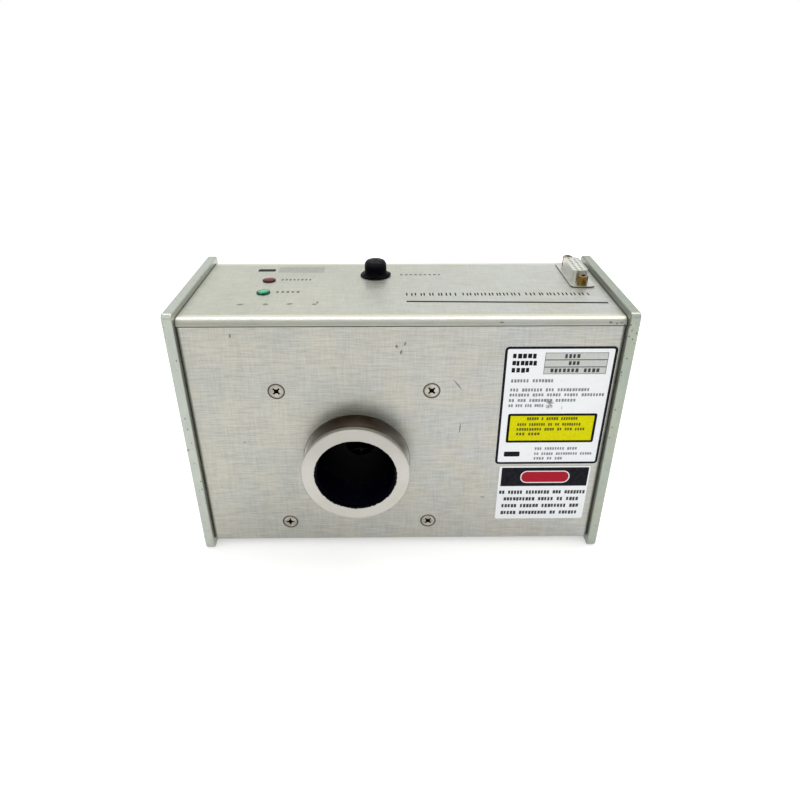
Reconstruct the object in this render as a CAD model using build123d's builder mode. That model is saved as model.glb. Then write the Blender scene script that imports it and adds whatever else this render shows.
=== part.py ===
"""Vacuum-line particle detector: a sheet-metal case between two thick end plates.

A clamp flange on the front and one on the rear carry the flow bore through a sensor
block.  A laser crosses the bore from the left, its light is caught on the right, and a
lens above the bore gathers what passing particles scatter.

Millimetres.  X runs to the right of someone facing the ports, Y towards the rear port
and Z up.  The origin is the middle of the footprint, on the surface the case stands on.
"""

from build123d import *

import os
from math import radians, sqrt, tan

os.makedirs("parts", exist_ok=True)

# ---- case ----------------------------------------------------------------------------
overall_width = 220.0
end_plate_thickness = 5.0
end_plate_depth = 90.0
end_plate_height = 141.0
end_plate_corner = 2.5
end_plate_edge = 0.8
plate_overhang = 2.7
cover_drop = 3.3
floor_lift = 3.9
sheet = 1.6
chassis_bend = 2.0
cover_bend = 3.0
cover_lip = 3.5
cover_seam = 0.4
return_width = 12.0
return_screw_inset = 7.0
return_screw_z = (25.0, 112.0)
bracket_length = 59.0
bracket_leg = 10.0
bracket_foot = 4.5
bracket_screw_inset = 9.5

body_width = overall_width - 2 * end_plate_thickness
body_depth = end_plate_depth - 2 * plate_overhang
panel_y = body_depth / 2
cover_top = end_plate_height - cover_drop
cover_under = cover_top - sheet
floor_top = floor_lift + sheet
chassis_top = cover_top - cover_lip - cover_seam
wall_inside = panel_y - sheet

# ---- No. 6 countersunk case screws and their clinch nuts ------------------------------
case_screw_r = 1.75
case_screw_hole_r = 1.9
case_head_r = 3.75
case_head_angle = 82
case_screw_length = 9.0
case_screw_slot = 0.9
case_screw_slot_depth = 1.3
case_screw_cross = 4.4
case_screw_point = 0.6
clinch_head_r = 3.5
clinch_head_height = 2.4
clinch_shank_r = 2.7
thread_gap = 0.05

# ---- port flanges: clamp flange of 40 mm nominal bore ---------------------------------
port_share = 0.3886
port_z = 58.5
port_reach = 14.0
rim_r = 27.5
rim_thickness = 3.0
rim_edge = 0.5
rim_taper = 15
neck_r = 22.25
recess_r = 20.6
recess_depth = 3.0
mouth_chamfer = 0.4
bore_r = 20.0
panel_hole_gap = 0.2
collar_r = 31.0
collar_thickness = 3.0

# ---- port plates and sensor block -----------------------------------------------------
port_plate_width = 92.0
port_plate_height = 98.0
port_plate_thickness = 6.0
port_plate_corner = 4.0
port_plate_gap = 0.15
casing_screw_pitch_x = 76.2
casing_screw_pitch_z = 82.6
casing_cross_angle = 45
plate_bolt_pitch = 60.8
block_width = 74.0
block_height = 74.0
block_corner = 2.0
seal_groove_r = 25.0
seal_groove_width = 3.6
seal_groove_depth = 2.0
seal_width = 3.1
seal_round = 0.7

block_depth = 2 * (wall_inside - port_plate_thickness)
block_face = block_depth / 2
port_end = panel_y + port_reach
base_r = rim_r
port_x = (port_share - 1 / 2) * body_width

# ---- M4 and M3 socket screws ----------------------------------------------------------
drill_point_room = 2.0
m4_r = 2.0
m4_tap_r = 2.05
m4_clear_r = 2.25
m4_head_r = 3.5
m4_head_height = 4.0
m4_length = 14.0
m4_head_pocket = 4.4
m4_pocket_r = 3.8
m3_r = 1.5
m3_tap_r = 1.55
m3_clear_r = 1.7
m3_head_r = 2.75
m3_head_height = 3.0
m3_grip = 7.0

# ---- laser side -----------------------------------------------------------------------
small_pocket_r = 9.0
small_pocket_depth = 12.0
beam_hole_r = 2.5
fit_gap = 0.15
glass_edge = 0.3
window_thickness = 3.0
squeezed_seal = 1.4
seal_band = 2.4
seal_inset = 1.35
round_flange_r = 19.0
round_flange_thickness = 5.0
round_flange_bolt_r = 15.2
barrel_edge = 1.0
laser_barrel_r = 12.0
laser_barrel_end = 32.0
lens_r = 4.5
lens_thickness = 3.0
lens_sag = 0.6
lens_seat = 14.0
lens_ring_thickness = 2.5
laser_throat_r = 3.4
diode_ring_bore_r = 2.4
diode_seat = 24.0
diode_flange_r = 4.5
diode_flange_thickness = 1.5
diode_can_r = 3.2
diode_can_length = 3.5
diode_pin_r = 0.25
diode_pin_length = 9.0
diode_pin_circle = 1.3
stop_barrel_r = 11.0
stop_barrel_end = 20.0
stop_cone_r = 5.0
stop_cone_start = 2.0
stop_cone_end = 17.0

# ---- detector side, above the bore, and the mirror below it ---------------------------
large_pocket_r = 14.0
large_pocket_depth = 10.0
collect_hole_r = 9.0
square_flange = 44.0
square_flange_thickness = 5.0
square_flange_corner = 3.0
square_flange_bolt_pitch = 33.0
collect_edge = 2.5
collect_sag = 3.0
detector_tube_r = 15.0
detector_tube_end = 16.0
detector_tube_bore_r = 11.5
detector_roof = 3.0
photodiode_can_r = 4.1
photodiode_can_length = 4.2
photodiode_flange_r = 4.7
photodiode_flange_thickness = 0.8
photodiode_pin_length = 5.5
photodiode_pin_circle = 2.54
mirror_thickness = 6.0
mirror_hollow = 2.5
mirror_cover_thickness = 4.0
preamp_width = 50.0
preamp_depth = 36.0
board_thickness = 1.6
preamp_stud_circle = 11.0
preamp_stud_r = 1.8
preamp_lift = 3.0
preamp_pin_r = 1.0
preamp_head_height = 1.2

# ---- main board -----------------------------------------------------------------------
board_corner = 1.5
board_from_right = 6.0
board_inset = 5.0
standoff_flats = 5.0
standoff_height = 8.0
standoff_stud_r = 1.4
board_screw_head_r = 2.5
board_screw_head_height = 1.6
board_screw_length = 6.4
converter_length = 50.8
converter_width = 25.4
converter_height = 10.2
converter_inset = 4.5
converter_gap = 0.1
converter_corner = 1.0
chip_width = 6.4
chip_height = 3.4
chip_length = 19.3
chip_corner = 0.5
chip_pitch = 10.0
chip_gap = 4.0
chip_clearance = 2.9
capacitor_r = 5.0
capacitor_height = 16.0
capacitor_edge = 0.8
capacitor_pitch = 12.5
capacitor_clearance = 1.8
capacitor_inset = 14.0
header_length = 25.0
header_width = 8.8
header_height = 9.0
header_wall = 1.2
header_floor = 2.5
ribbon_width = 19.0
ribbon_thickness = 1.0
ribbon_bend = 12.0
ribbon_offset = 9.0

board_depth = converter_length + 2 * (board_inset + board_screw_head_r + converter_gap)
chips_left = converter_inset + converter_width + chip_clearance
chips_right = chips_left + chip_pitch + chip_width
board_width = chips_right + capacitor_clearance + capacitor_r + capacitor_inset
board_middle = body_width / 2 - board_from_right - board_width / 2
board_top = floor_top + standoff_height + board_thickness

# ---- indicators -----------------------------------------------------------------------
indicator_from_left = 35.2
red_y = 10.6
green_y = -7.5
lens_rim_r = 3.45
lens_rim_height = 0.6
lens_crown = 0.5
lens_shank_r = 3.1
lens_shank_length = 7.0
lens_cavity_r = 2.65
lens_cavity_top = 1.2
lamp_r = 2.5
lamp_dome_gap = 0.6
lamp_base_r = 2.9
lamp_base_height = 1.0
lamp_lead = 0.5
lamp_lead_pitch = 2.54
lamp_lead_length = 9.0
clip_r = 4.6
clip_height = 1.4

# ---- 15-way D connector ---------------------------------------------------------------
dsub_from_right = 10.5
dsub_y = 18.0
dsub_flange_width = 12.5
dsub_flange_end = 2.95
dsub_flange_thickness = 0.8
dsub_flange_corner = 2.5
dsub_hole_pitch = 33.3
dsub_hole_r = 1.55
dsub_shell_length = 24.7
dsub_shell_width = 8.2
dsub_shell_wall = 0.5
dsub_shell_height = 5.8
dsub_shell_corner = 2.2
dsub_shell_slant = 10
dsub_back_length = 24.6
dsub_back_width = 10.4
dsub_back_depth = 8.0
dsub_back_corner = 0.8
dsub_body_drop = 0.3
contact_drop = 0.6
dsub_pitch = 2.77
dsub_row_gap = 2.84
contact_r = 0.7
contact_gap = 0.06
contact_bore_r = 0.45
contact_bore_depth = 4.0
contact_tail = 3.5
jack_flats = 4.76
jack_height = 4.8
jack_edge = 0.3
jack_thread_r = 1.42
jack_hole_r = 1.2
jack_nut_flats = 4.76
jack_nut_height = 2.4
jack_tail = 5.6

# ---- round connector and its soft cap -------------------------------------------------
socket_from_port = 9.96
socket_y = 18.5
socket_r = 4.5
socket_bore_r = 3.6
socket_height = 7.4
socket_edge = 0.4
socket_insert_height = 5.0
socket_flange_r = 6.2
socket_flange_thickness = 1.5
socket_tail_length = 9.0
socket_nut_flats = 10.0
socket_nut_height = 1.0
socket_pin_r = 0.45
socket_pin_circle = 1.9
socket_pin_count = 5
socket_pin_top = 6.4
socket_pin_tail = 3.0
cap_gap = 0.15
cap_seat_gap = 0.1
cap_skirt_r = 8.0
cap_skirt_height = 2.4
cap_skirt_edge = 0.8
cap_skirt_lip = 0.4
cap_skirt_waist = 1.3
cap_bore_flare = 0.6
cap_wall_r = 5.85
cap_shoulder = 7.1
cap_top = 8.75
cap_bump_r = 1.3
cap_bump_height = 0.4
cap_crown_r = 4.0
cap_crown_drop = 0.55

# ---- labels ---------------------------------------------------------------------------
label_thickness = 0.15
label_corner = 2.2
data_label_from_right = 2.0
data_label_width = 54.1
data_label_z = (55.4, 123.7)
lower_label_from_right = 4.8
lower_label_width = 48.4
lower_label_z = (18.4, 53.9)
lower_label_corner = 1.0

indicator_x = indicator_from_left - body_width / 2
dsub_x = body_width / 2 - dsub_from_right
dsub_flange_length = dsub_hole_pitch + 2 * dsub_flange_end
socket_x = port_x + socket_from_port

# ---- reference planes: each lies on a mounting face, its normal pointing away ----------
front_panel = Plane((port_x, -panel_y, port_z), x_dir=(1, 0, 0), z_dir=(0, -1, 0))
rear_panel = Plane((port_x, panel_y, port_z), x_dir=(-1, 0, 0), z_dir=(0, 1, 0))
laser_face = Plane((port_x - block_width / 2, 0, port_z), x_dir=(0, 0, 1), z_dir=(-1, 0, 0))
stop_face = Plane((port_x + block_width / 2, 0, port_z), x_dir=(0, 0, 1), z_dir=(1, 0, 0))
detector_face = Plane((port_x, 0, port_z + block_height / 2), x_dir=(1, 0, 0), z_dir=(0, 0, 1))
mirror_face = Plane((port_x, 0, port_z - block_height / 2), x_dir=(1, 0, 0), z_dir=(0, 0, -1))
port_sides = (("front", front_panel), ("rear", rear_panel))

case_head_height = (case_head_r - case_screw_r) / tan(radians(case_head_angle / 2))
casing_mouth_r = case_head_r + thread_gap - sheet * tan(radians(case_head_angle / 2))
return_screw_y = panel_y - return_screw_inset
bracket_screw_y = bracket_length / 2 - bracket_screw_inset
bracket_screw_z = cover_under - bracket_leg / 2 - sheet / 2


def turn(face, points, mode=Mode.ADD):
    """Revolve (radius, height above the face) points about the normal of a face."""
    section = Plane(face.origin, x_dir=face.x_dir, z_dir=face.x_dir.cross(face.z_dir))
    with BuildSketch(section) as profile:
        with BuildLine():
            Polyline(*points, close=True)
        make_face()
    revolve(profile.sketch, axis=Axis(face.origin, face.z_dir), mode=mode)


def ring(face, inner_r, outer_r, low, high, mode=Mode.ADD):
    """A plain ring, or a disc where the inner radius is nought."""
    turn(face, [(inner_r, low), (outer_r, low), (outer_r, high), (inner_r, high)], mode)


def shifted(face, x, y, height=0.0):
    """The same face moved within itself, and along its normal."""
    return Plane(face.location * Location((x, y, height)))


def dome(radius, low, high):
    """Arc of a spherical cap, from its edge to its top on the axis."""
    sag = high - low
    sphere = (radius**2 + sag**2) / (2 * sag)
    middle = high - sphere + sqrt(sphere**2 - radius**2 / 4)
    ThreePointArc((radius, low), (radius / 2, middle), (0, high))


def case_screw():
    """Countersunk cross-head screw: its head is flush with the local XY plane."""
    with BuildPart() as screw:
        turn(
            Plane.XY,
            [
                (0, 0),
                (case_head_r, 0),
                (case_screw_r, -case_head_height),
                (case_screw_r, -case_screw_length + case_screw_point),
                (case_screw_r - case_screw_point, -case_screw_length),
                (0, -case_screw_length),
            ],
        )
        with BuildSketch() as cross:
            Rectangle(case_screw_cross, case_screw_slot)
            Rectangle(case_screw_slot, case_screw_cross)
        extrude(amount=-case_screw_slot_depth, mode=Mode.SUBTRACT)
    return screw.part


def socket_screw(shank_r, head_r, head_height, length):
    """Socket-head screw: the underside of its head lies on the local XY plane."""
    with BuildPart() as screw:
        ring(Plane.XY, 0, head_r, 0, head_height)
        ring(Plane.XY, 0, shank_r, -length, 0)
        with BuildSketch(Plane.XY.offset(head_height)):
            RegularPolygon(head_r / 2, 6)
        extrude(amount=-head_height / 2, mode=Mode.SUBTRACT)
    return screw.part


# ---- chassis: floor, front and rear walls folded from one sheet, with end returns -----
with BuildPart() as chassis_inside:
    with BuildSketch(Plane.YZ) as inside_outline:
        with Locations((0, (floor_top + chassis_top + cover_lip) / 2)):
            Rectangle(2 * wall_inside, chassis_top + cover_lip - floor_top)
        fillet(inside_outline.vertices().group_by(Axis.Y)[0], chassis_bend - sheet)
    extrude(amount=body_width / 2 - sheet, both=True)
    fillet(chassis_inside.faces().filter_by(Axis.X).edges().filter_by(Axis.Z), chassis_bend - sheet)

with BuildPart() as chassis:
    with BuildSketch(Plane.YZ) as outside_outline:
        with Locations((0, (floor_lift + chassis_top) / 2)):
            Rectangle(body_depth, chassis_top - floor_lift)
        fillet(outside_outline.vertices().group_by(Axis.Y)[0], chassis_bend)
    extrude(amount=body_width / 2, both=True)
    fillet(chassis.faces().filter_by(Axis.X).edges().filter_by(Axis.Z), chassis_bend)
    add(chassis_inside.part, mode=Mode.SUBTRACT)
    with BuildSketch(Plane.YZ) as end_window:
        with Locations((0, (floor_lift + return_width + chassis_top + sheet) / 2)):
            Rectangle(body_depth - 2 * return_width, chassis_top + sheet - floor_lift - return_width)
    extrude(amount=body_width, both=True, mode=Mode.SUBTRACT)
    with BuildSketch(Plane.XZ) as port_holes:
        with Locations((port_x, port_z)):
            Circle(base_r + panel_hole_gap)
    extrude(amount=body_depth, both=True, mode=Mode.SUBTRACT)
    with Locations(front_panel, rear_panel):
        with GridLocations(casing_screw_pitch_x, casing_screw_pitch_z, 2, 2):
            CounterSinkHole(case_screw_hole_r, case_head_r + thread_gap, sheet * 2, case_head_angle)
    with BuildSketch(Plane.YZ) as return_holes:
        for height in return_screw_z:
            with Locations((-return_screw_y, height), (return_screw_y, height)):
                Circle(clinch_shank_r + thread_gap)
    extrude(amount=body_width, both=True, mode=Mode.SUBTRACT)

chassis.part.label = "chassis"
export_step(chassis.part, "parts/chassis.step")

# ---- top cover: one folded sheet with a short lip at the front and the rear -----------
back_cut = Plane.XY.offset(cover_top)

with BuildPart() as top_cover:
    with BuildSketch(Plane.YZ) as cover_section:
        with Locations((0, cover_top - cover_lip / 2)):
            Rectangle(body_depth, cover_lip)
        fillet(cover_section.vertices().group_by(Axis.Y)[-1], cover_bend)
        with BuildSketch(mode=Mode.SUBTRACT) as under_cover:
            with Locations((0, cover_under - cover_lip / 2)):
                Rectangle(2 * wall_inside, cover_lip)
            fillet(under_cover.vertices().group_by(Axis.Y)[-1], cover_bend - sheet)
    extrude(amount=body_width / 2, both=True)
    with BuildSketch(back_cut) as cover_holes:
        with Locations((indicator_x, red_y), (indicator_x, green_y)):
            Circle(lens_shank_r + fit_gap)
        with Locations((socket_x, socket_y)):
            Circle(socket_r + fit_gap)
        with Locations((dsub_x, dsub_y)):
            RectangleRounded(
                dsub_back_width + 2 * fit_gap, dsub_back_length + 2 * fit_gap, dsub_back_corner + fit_gap
            )
        with Locations((dsub_x, dsub_y - dsub_hole_pitch / 2), (dsub_x, dsub_y + dsub_hole_pitch / 2)):
            Circle(dsub_hole_r)
    extrude(amount=-cover_top / 2, mode=Mode.SUBTRACT)

top_cover.part.label = "top_cover"
export_step(top_cover.part, "parts/top_cover.step")

# ---- cover brackets: an angle under each end of the cover, spot-welded to it ----------
with BuildPart() as cover_brackets:
    for side in (-1, 1):
        with BuildSketch(Plane.XZ) as angle:
            with BuildLine():
                Polyline(
                    (side * body_width / 2, cover_under),
                    (side * (body_width / 2 - bracket_foot), cover_under),
                    (side * (body_width / 2 - bracket_foot), cover_under - sheet),
                    (side * (body_width / 2 - sheet), cover_under - sheet),
                    (side * (body_width / 2 - sheet), cover_under - bracket_leg),
                    (side * body_width / 2, cover_under - bracket_leg),
                    close=True,
                )
            make_face()
        extrude(amount=bracket_length / 2, both=True)
    with BuildSketch(Plane.YZ) as bracket_holes:
        with Locations((-bracket_screw_y, bracket_screw_z), (bracket_screw_y, bracket_screw_z)):
            Circle(clinch_shank_r + thread_gap)
    extrude(amount=body_width, both=True, mode=Mode.SUBTRACT)

cover_brackets.part.label = "cover_brackets"
export_step(cover_brackets.part, "parts/cover_brackets.step")

# ---- end plates: thick, with broken edges, standing proud of the case ------------------
plate_screw_points = [(y, z) for y in (-return_screw_y, return_screw_y) for z in return_screw_z]
plate_screw_points += [(y, bracket_screw_z) for y in (-bracket_screw_y, bracket_screw_y)]


def plate_screw_planes(side, x):
    """One plane for each end-plate screw, at distance x from the middle, facing outwards."""
    return [Plane((side * x, y, z), x_dir=(0, 1, 0), z_dir=(side, 0, 0)) for y, z in plate_screw_points]


for side, hand in ((-1, "left"), (1, "right")):
    with BuildPart() as end_plate:
        with BuildSketch(Plane.YZ.offset(side * body_width / 2)):
            with Locations((0, end_plate_height / 2)):
                RectangleRounded(end_plate_depth, end_plate_height, end_plate_corner)
        extrude(amount=side * end_plate_thickness)
        fillet(end_plate.faces().filter_by(Axis.X).edges(), end_plate_edge)
        with Locations(*plate_screw_planes(side, overall_width / 2)):
            CounterSinkHole(
                case_screw_hole_r, case_head_r + thread_gap, 2 * end_plate_thickness, case_head_angle
            )
    end_plate.part.label = f"end_plate_{hand}"
    export_step(end_plate.part, f"parts/end_plate_{hand}.step")

with BuildPart() as end_plate_screws:
    for side in (-1, 1):
        with Locations(*plate_screw_planes(side, overall_width / 2)):
            add(case_screw())

end_plate_screws.part.label = "end_plate_screws"
export_step(end_plate_screws.part, "parts/end_plate_screws.step")

with BuildPart() as clinch_nuts:
    for side in (-1, 1):
        for face in plate_screw_planes(side, body_width / 2):
            turn(
                face,
                [
                    (case_screw_r + thread_gap, 0),
                    (clinch_shank_r, 0),
                    (clinch_shank_r, -sheet),
                    (clinch_head_r, -sheet),
                    (clinch_head_r, -sheet - clinch_head_height),
                    (case_screw_r + thread_gap, -sheet - clinch_head_height),
                ],
            )

clinch_nuts.part.label = "clinch_nuts"
export_step(clinch_nuts.part, "parts/clinch_nuts.step")

# ---- ports, the same at the front and the rear ----------------------------------------
for name, panel in port_sides:
    with BuildPart() as flange:
        taper_end = rim_thickness + (rim_r - neck_r) * tan(radians(rim_taper))
        collar_start = sheet + port_plate_thickness - collar_thickness
        turn(
            shifted(panel, 0, 0, port_reach),
            [
                (recess_r + mouth_chamfer, 0),
                (rim_r - rim_edge, 0),
                (rim_r, -rim_edge),
                (rim_r, -rim_thickness),
                (neck_r, -taper_end),
                (neck_r, -port_reach),
                (base_r, -port_reach),
                (base_r, -port_reach - collar_start),
                (collar_r, -port_reach - collar_start),
                (collar_r, -port_end + block_face),
                (bore_r, -port_end + block_face),
                (bore_r, -recess_depth),
                (recess_r, -recess_depth),
                (recess_r, -mouth_chamfer),
            ],
        )
    flange.part.label = f"{name}_flange"
    export_step(flange.part, f"parts/{name}_flange.step")

    with BuildPart() as port_plate:
        with BuildSketch(shifted(panel, 0, 0, -sheet)):
            RectangleRounded(port_plate_width, port_plate_height, port_plate_corner)
        extrude(amount=-port_plate_thickness)
        ring(panel, 0, base_r + port_plate_gap, -sheet - port_plate_thickness, 0, Mode.SUBTRACT)
        ring(
            shifted(panel, 0, 0, -sheet - port_plate_thickness),
            0,
            collar_r + port_plate_gap,
            -sheet,
            collar_thickness,
            Mode.SUBTRACT,
        )
        with Locations(shifted(panel, 0, 0, -sheet)):
            with GridLocations(casing_screw_pitch_x, casing_screw_pitch_z, 2, 2):
                CounterSinkHole(
                    case_screw_hole_r, casing_mouth_r, port_plate_thickness * 2, case_head_angle
                )
            with GridLocations(plate_bolt_pitch, plate_bolt_pitch, 2, 2):
                CounterBoreHole(m4_clear_r, m4_pocket_r, m4_head_pocket, port_plate_thickness * 2)
    port_plate.part.label = f"{name}_port_plate"
    export_step(port_plate.part, f"parts/{name}_port_plate.step")

    with BuildPart() as port_seal:
        with BuildSketch(shifted(panel, 0, 0, -panel_y + block_face)) as seal_land:
            Circle(seal_groove_r + seal_width / 2)
            Circle(seal_groove_r - seal_width / 2, mode=Mode.SUBTRACT)
        extrude(amount=-seal_groove_depth)
        fillet(port_seal.edges().filter_by(GeomType.CIRCLE), seal_round)
    port_seal.part.label = f"{name}_port_seal"
    export_step(port_seal.part, f"parts/{name}_port_seal.step")

    with BuildPart() as casing_screws:
        for across in (-1, 1):
            for up in (-1, 1):
                turned = 0 if across + up < 0 else casing_cross_angle
                place = shifted(panel, across * casing_screw_pitch_x / 2, up * casing_screw_pitch_z / 2)
                with Locations(place):
                    add(case_screw(), rotation=(0, 0, turned))
    casing_screws.part.label = f"{name}_casing_screws"
    export_step(casing_screws.part, f"parts/{name}_casing_screws.step")

with BuildPart() as port_plate_screws:
    for name, panel in port_sides:
        with Locations(shifted(panel, 0, 0, -sheet - m4_head_pocket)):
            with GridLocations(plate_bolt_pitch, plate_bolt_pitch, 2, 2):
                add(socket_screw(m4_r, m4_head_r, m4_head_height, m4_length))

port_plate_screws.part.label = "port_plate_screws"
export_step(port_plate_screws.part, "parts/port_plate_screws.step")

# ---- sensor block: the flow bore, four side bores and their pockets --------------------
block_length = m4_length - port_plate_thickness + m4_head_pocket

with BuildPart() as sensor_block:
    with BuildSketch(Plane.XY.offset(port_z - block_height / 2)):
        with Locations((port_x, 0)):
            RectangleRounded(block_width, block_depth, block_corner)
    extrude(amount=block_height)
    with BuildSketch(Plane.XZ) as flow_bore:
        with Locations((port_x, port_z)):
            Circle(bore_r)
    extrude(amount=block_depth, both=True, mode=Mode.SUBTRACT)
    for name, panel in port_sides:
        ring(
            shifted(panel, 0, 0, -panel_y + block_face),
            seal_groove_r - seal_groove_width / 2,
            seal_groove_r + seal_groove_width / 2,
            -seal_groove_depth,
            seal_groove_depth,
            Mode.SUBTRACT,
        )
        with Locations(shifted(panel, 0, 0, -panel_y + block_face)):
            with GridLocations(plate_bolt_pitch, plate_bolt_pitch, 2, 2):
                Hole(m4_tap_r, block_length + drill_point_room)
    with Locations(laser_face, stop_face):
        CounterBoreHole(beam_hole_r, small_pocket_r, small_pocket_depth, block_width / 2)
        with PolarLocations(round_flange_bolt_r, 4, start_angle=45):
            Hole(m3_tap_r, m3_grip + drill_point_room)
    with Locations(detector_face, mirror_face):
        CounterBoreHole(collect_hole_r, large_pocket_r, large_pocket_depth, block_height / 2)
        with GridLocations(square_flange_bolt_pitch, square_flange_bolt_pitch, 2, 2):
            Hole(m3_tap_r, m3_grip + drill_point_room)

sensor_block.part.label = "sensor_block"
export_step(sensor_block.part, "parts/sensor_block.step")

# ---- laser: seal, window, housing, lens, diode and the rings that hold them ------------
window_low = -small_pocket_depth + squeezed_seal
nose_end = window_low + window_thickness
small_seal_r = small_pocket_r - seal_inset

with BuildPart() as small_seals:
    for face in (laser_face, stop_face):
        ring(face, small_seal_r - seal_band, small_seal_r, -small_pocket_depth, window_low)

small_seals.part.label = "small_seals"
export_step(small_seals.part, "parts/small_seals.step")

with BuildPart() as laser_window:
    ring(laser_face, 0, small_pocket_r - fit_gap, window_low, nose_end)
    chamfer(laser_window.edges().filter_by(GeomType.CIRCLE), glass_edge)

laser_window.part.label = "laser_window"
export_step(laser_window.part, "parts/laser_window.step")

lens_bore_r = lens_r + fit_gap
diode_bore_r = diode_flange_r + fit_gap

with BuildPart() as laser_housing:
    turn(
        laser_face,
        [
            (lens_bore_r, nose_end),
            (small_pocket_r - fit_gap, nose_end),
            (small_pocket_r - fit_gap, 0),
            (round_flange_r, 0),
            (round_flange_r, round_flange_thickness),
            (laser_barrel_r, round_flange_thickness),
            (laser_barrel_r, laser_barrel_end - barrel_edge),
            (laser_barrel_r - barrel_edge, laser_barrel_end),
            (diode_bore_r, laser_barrel_end),
            (diode_bore_r, diode_seat),
            (laser_throat_r, diode_seat),
            (laser_throat_r, lens_seat),
            (lens_bore_r, lens_seat),
        ],
    )
    with Locations(shifted(laser_face, 0, 0, round_flange_thickness)):
        with PolarLocations(round_flange_bolt_r, 4, start_angle=45):
            Hole(m3_clear_r, round_flange_thickness)

laser_housing.part.label = "laser_housing"
export_step(laser_housing.part, "parts/laser_housing.step")

with BuildPart() as collimating_lens:
    lens_back = lens_seat - lens_thickness
    with BuildSketch(Plane(laser_face.origin, x_dir=(0, 0, 1), z_dir=(0, -1, 0))) as lens_section:
        with BuildLine():
            Line((0, lens_seat + lens_sag), (0, lens_back))
            Line((0, lens_back), (lens_r, lens_back))
            Line((lens_r, lens_back), (lens_r, lens_seat))
            Line((lens_r, lens_seat), (laser_throat_r, lens_seat))
            dome(laser_throat_r, lens_seat, lens_seat + lens_sag)
        make_face()
    revolve(axis=Axis(laser_face.origin, laser_face.z_dir))

collimating_lens.part.label = "collimating_lens"
export_step(collimating_lens.part, "parts/collimating_lens.step")

with BuildPart() as lens_rings:
    ring(
        laser_face,
        laser_throat_r,
        lens_r + thread_gap,
        lens_back - lens_ring_thickness,
        lens_back,
    )
    ring(
        laser_face,
        diode_ring_bore_r,
        diode_flange_r + thread_gap,
        diode_seat + diode_flange_thickness,
        diode_seat + diode_flange_thickness + lens_ring_thickness,
    )

lens_rings.part.label = "lens_rings"
export_step(lens_rings.part, "parts/lens_rings.step")

with BuildPart() as laser_diode:
    ring(laser_face, 0, diode_flange_r, diode_seat, diode_seat + diode_flange_thickness)
    ring(laser_face, 0, diode_can_r, diode_seat - diode_can_length, diode_seat)
    with BuildSketch(shifted(laser_face, 0, 0, diode_seat + diode_flange_thickness)):
        with PolarLocations(diode_pin_circle, 3):
            Circle(diode_pin_r)
    extrude(amount=diode_pin_length)

laser_diode.part.label = "laser_diode"
export_step(laser_diode.part, "parts/laser_diode.step")

# ---- beam stop: a closed barrel with a conical light trap ------------------------------
with BuildPart() as beam_stop:
    turn(
        stop_face,
        [
            (stop_cone_r, window_low),
            (small_pocket_r - fit_gap, window_low),
            (small_pocket_r - fit_gap, 0),
            (round_flange_r, 0),
            (round_flange_r, round_flange_thickness),
            (stop_barrel_r, round_flange_thickness),
            (stop_barrel_r, stop_barrel_end - barrel_edge),
            (stop_barrel_r - barrel_edge, stop_barrel_end),
            (0, stop_barrel_end),
            (0, stop_cone_end),
            (stop_cone_r, stop_cone_start),
        ],
    )
    with Locations(shifted(stop_face, 0, 0, round_flange_thickness)):
        with PolarLocations(round_flange_bolt_r, 4, start_angle=45):
            Hole(m3_clear_r, round_flange_thickness)

beam_stop.part.label = "beam_stop"
export_step(beam_stop.part, "parts/beam_stop.step")

# ---- detector: seal, collecting lens, housing and photodiode ---------------------------
large_seat = -large_pocket_depth + squeezed_seal
large_r = large_pocket_r - fit_gap
large_seal_r = large_pocket_r - seal_inset

with BuildPart() as large_seals:
    for face in (detector_face, mirror_face):
        ring(face, large_seal_r - seal_band, large_seal_r, -large_pocket_depth, large_seat)

large_seals.part.label = "large_seals"
export_step(large_seals.part, "parts/large_seals.step")

with BuildPart() as collecting_lens:
    lens_rim = large_seat + collect_edge
    with BuildSketch(Plane(detector_face.origin, x_dir=(1, 0, 0), z_dir=(0, -1, 0))) as collect_section:
        with BuildLine():
            Line((0, lens_rim + collect_sag), (0, large_seat))
            Line((0, large_seat), (large_r, large_seat))
            Line((large_r, large_seat), (large_r, lens_rim))
            Line((large_r, lens_rim), (detector_tube_bore_r, lens_rim))
            dome(detector_tube_bore_r, lens_rim, lens_rim + collect_sag)
        make_face()
    revolve(axis=Axis(detector_face.origin, detector_face.z_dir))

collecting_lens.part.label = "collecting_lens"
export_step(collecting_lens.part, "parts/collecting_lens.step")

with BuildPart() as detector_housing:
    with BuildSketch(detector_face):
        RectangleRounded(square_flange, square_flange, square_flange_corner)
    extrude(amount=square_flange_thickness)
    ring(detector_face, 0, detector_tube_r, 0, detector_tube_end)
    ring(detector_face, 0, large_r, lens_rim, 0)
    ring(
        detector_face,
        0,
        detector_tube_bore_r,
        lens_rim,
        detector_tube_end - detector_roof,
        Mode.SUBTRACT,
    )
    ring(detector_face, 0, photodiode_can_r + fit_gap, 0, detector_tube_end, Mode.SUBTRACT)
    with Locations(shifted(detector_face, 0, 0, square_flange_thickness)):
        with GridLocations(square_flange_bolt_pitch, square_flange_bolt_pitch, 2, 2):
            Hole(m3_clear_r, square_flange_thickness)
    with Locations(shifted(detector_face, 0, 0, detector_tube_end)):
        with PolarLocations(preamp_stud_circle, 3, start_angle=90):
            Hole(preamp_pin_r + thread_gap, detector_roof)

detector_housing.part.label = "detector_housing"
export_step(detector_housing.part, "parts/detector_housing.step")

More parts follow.
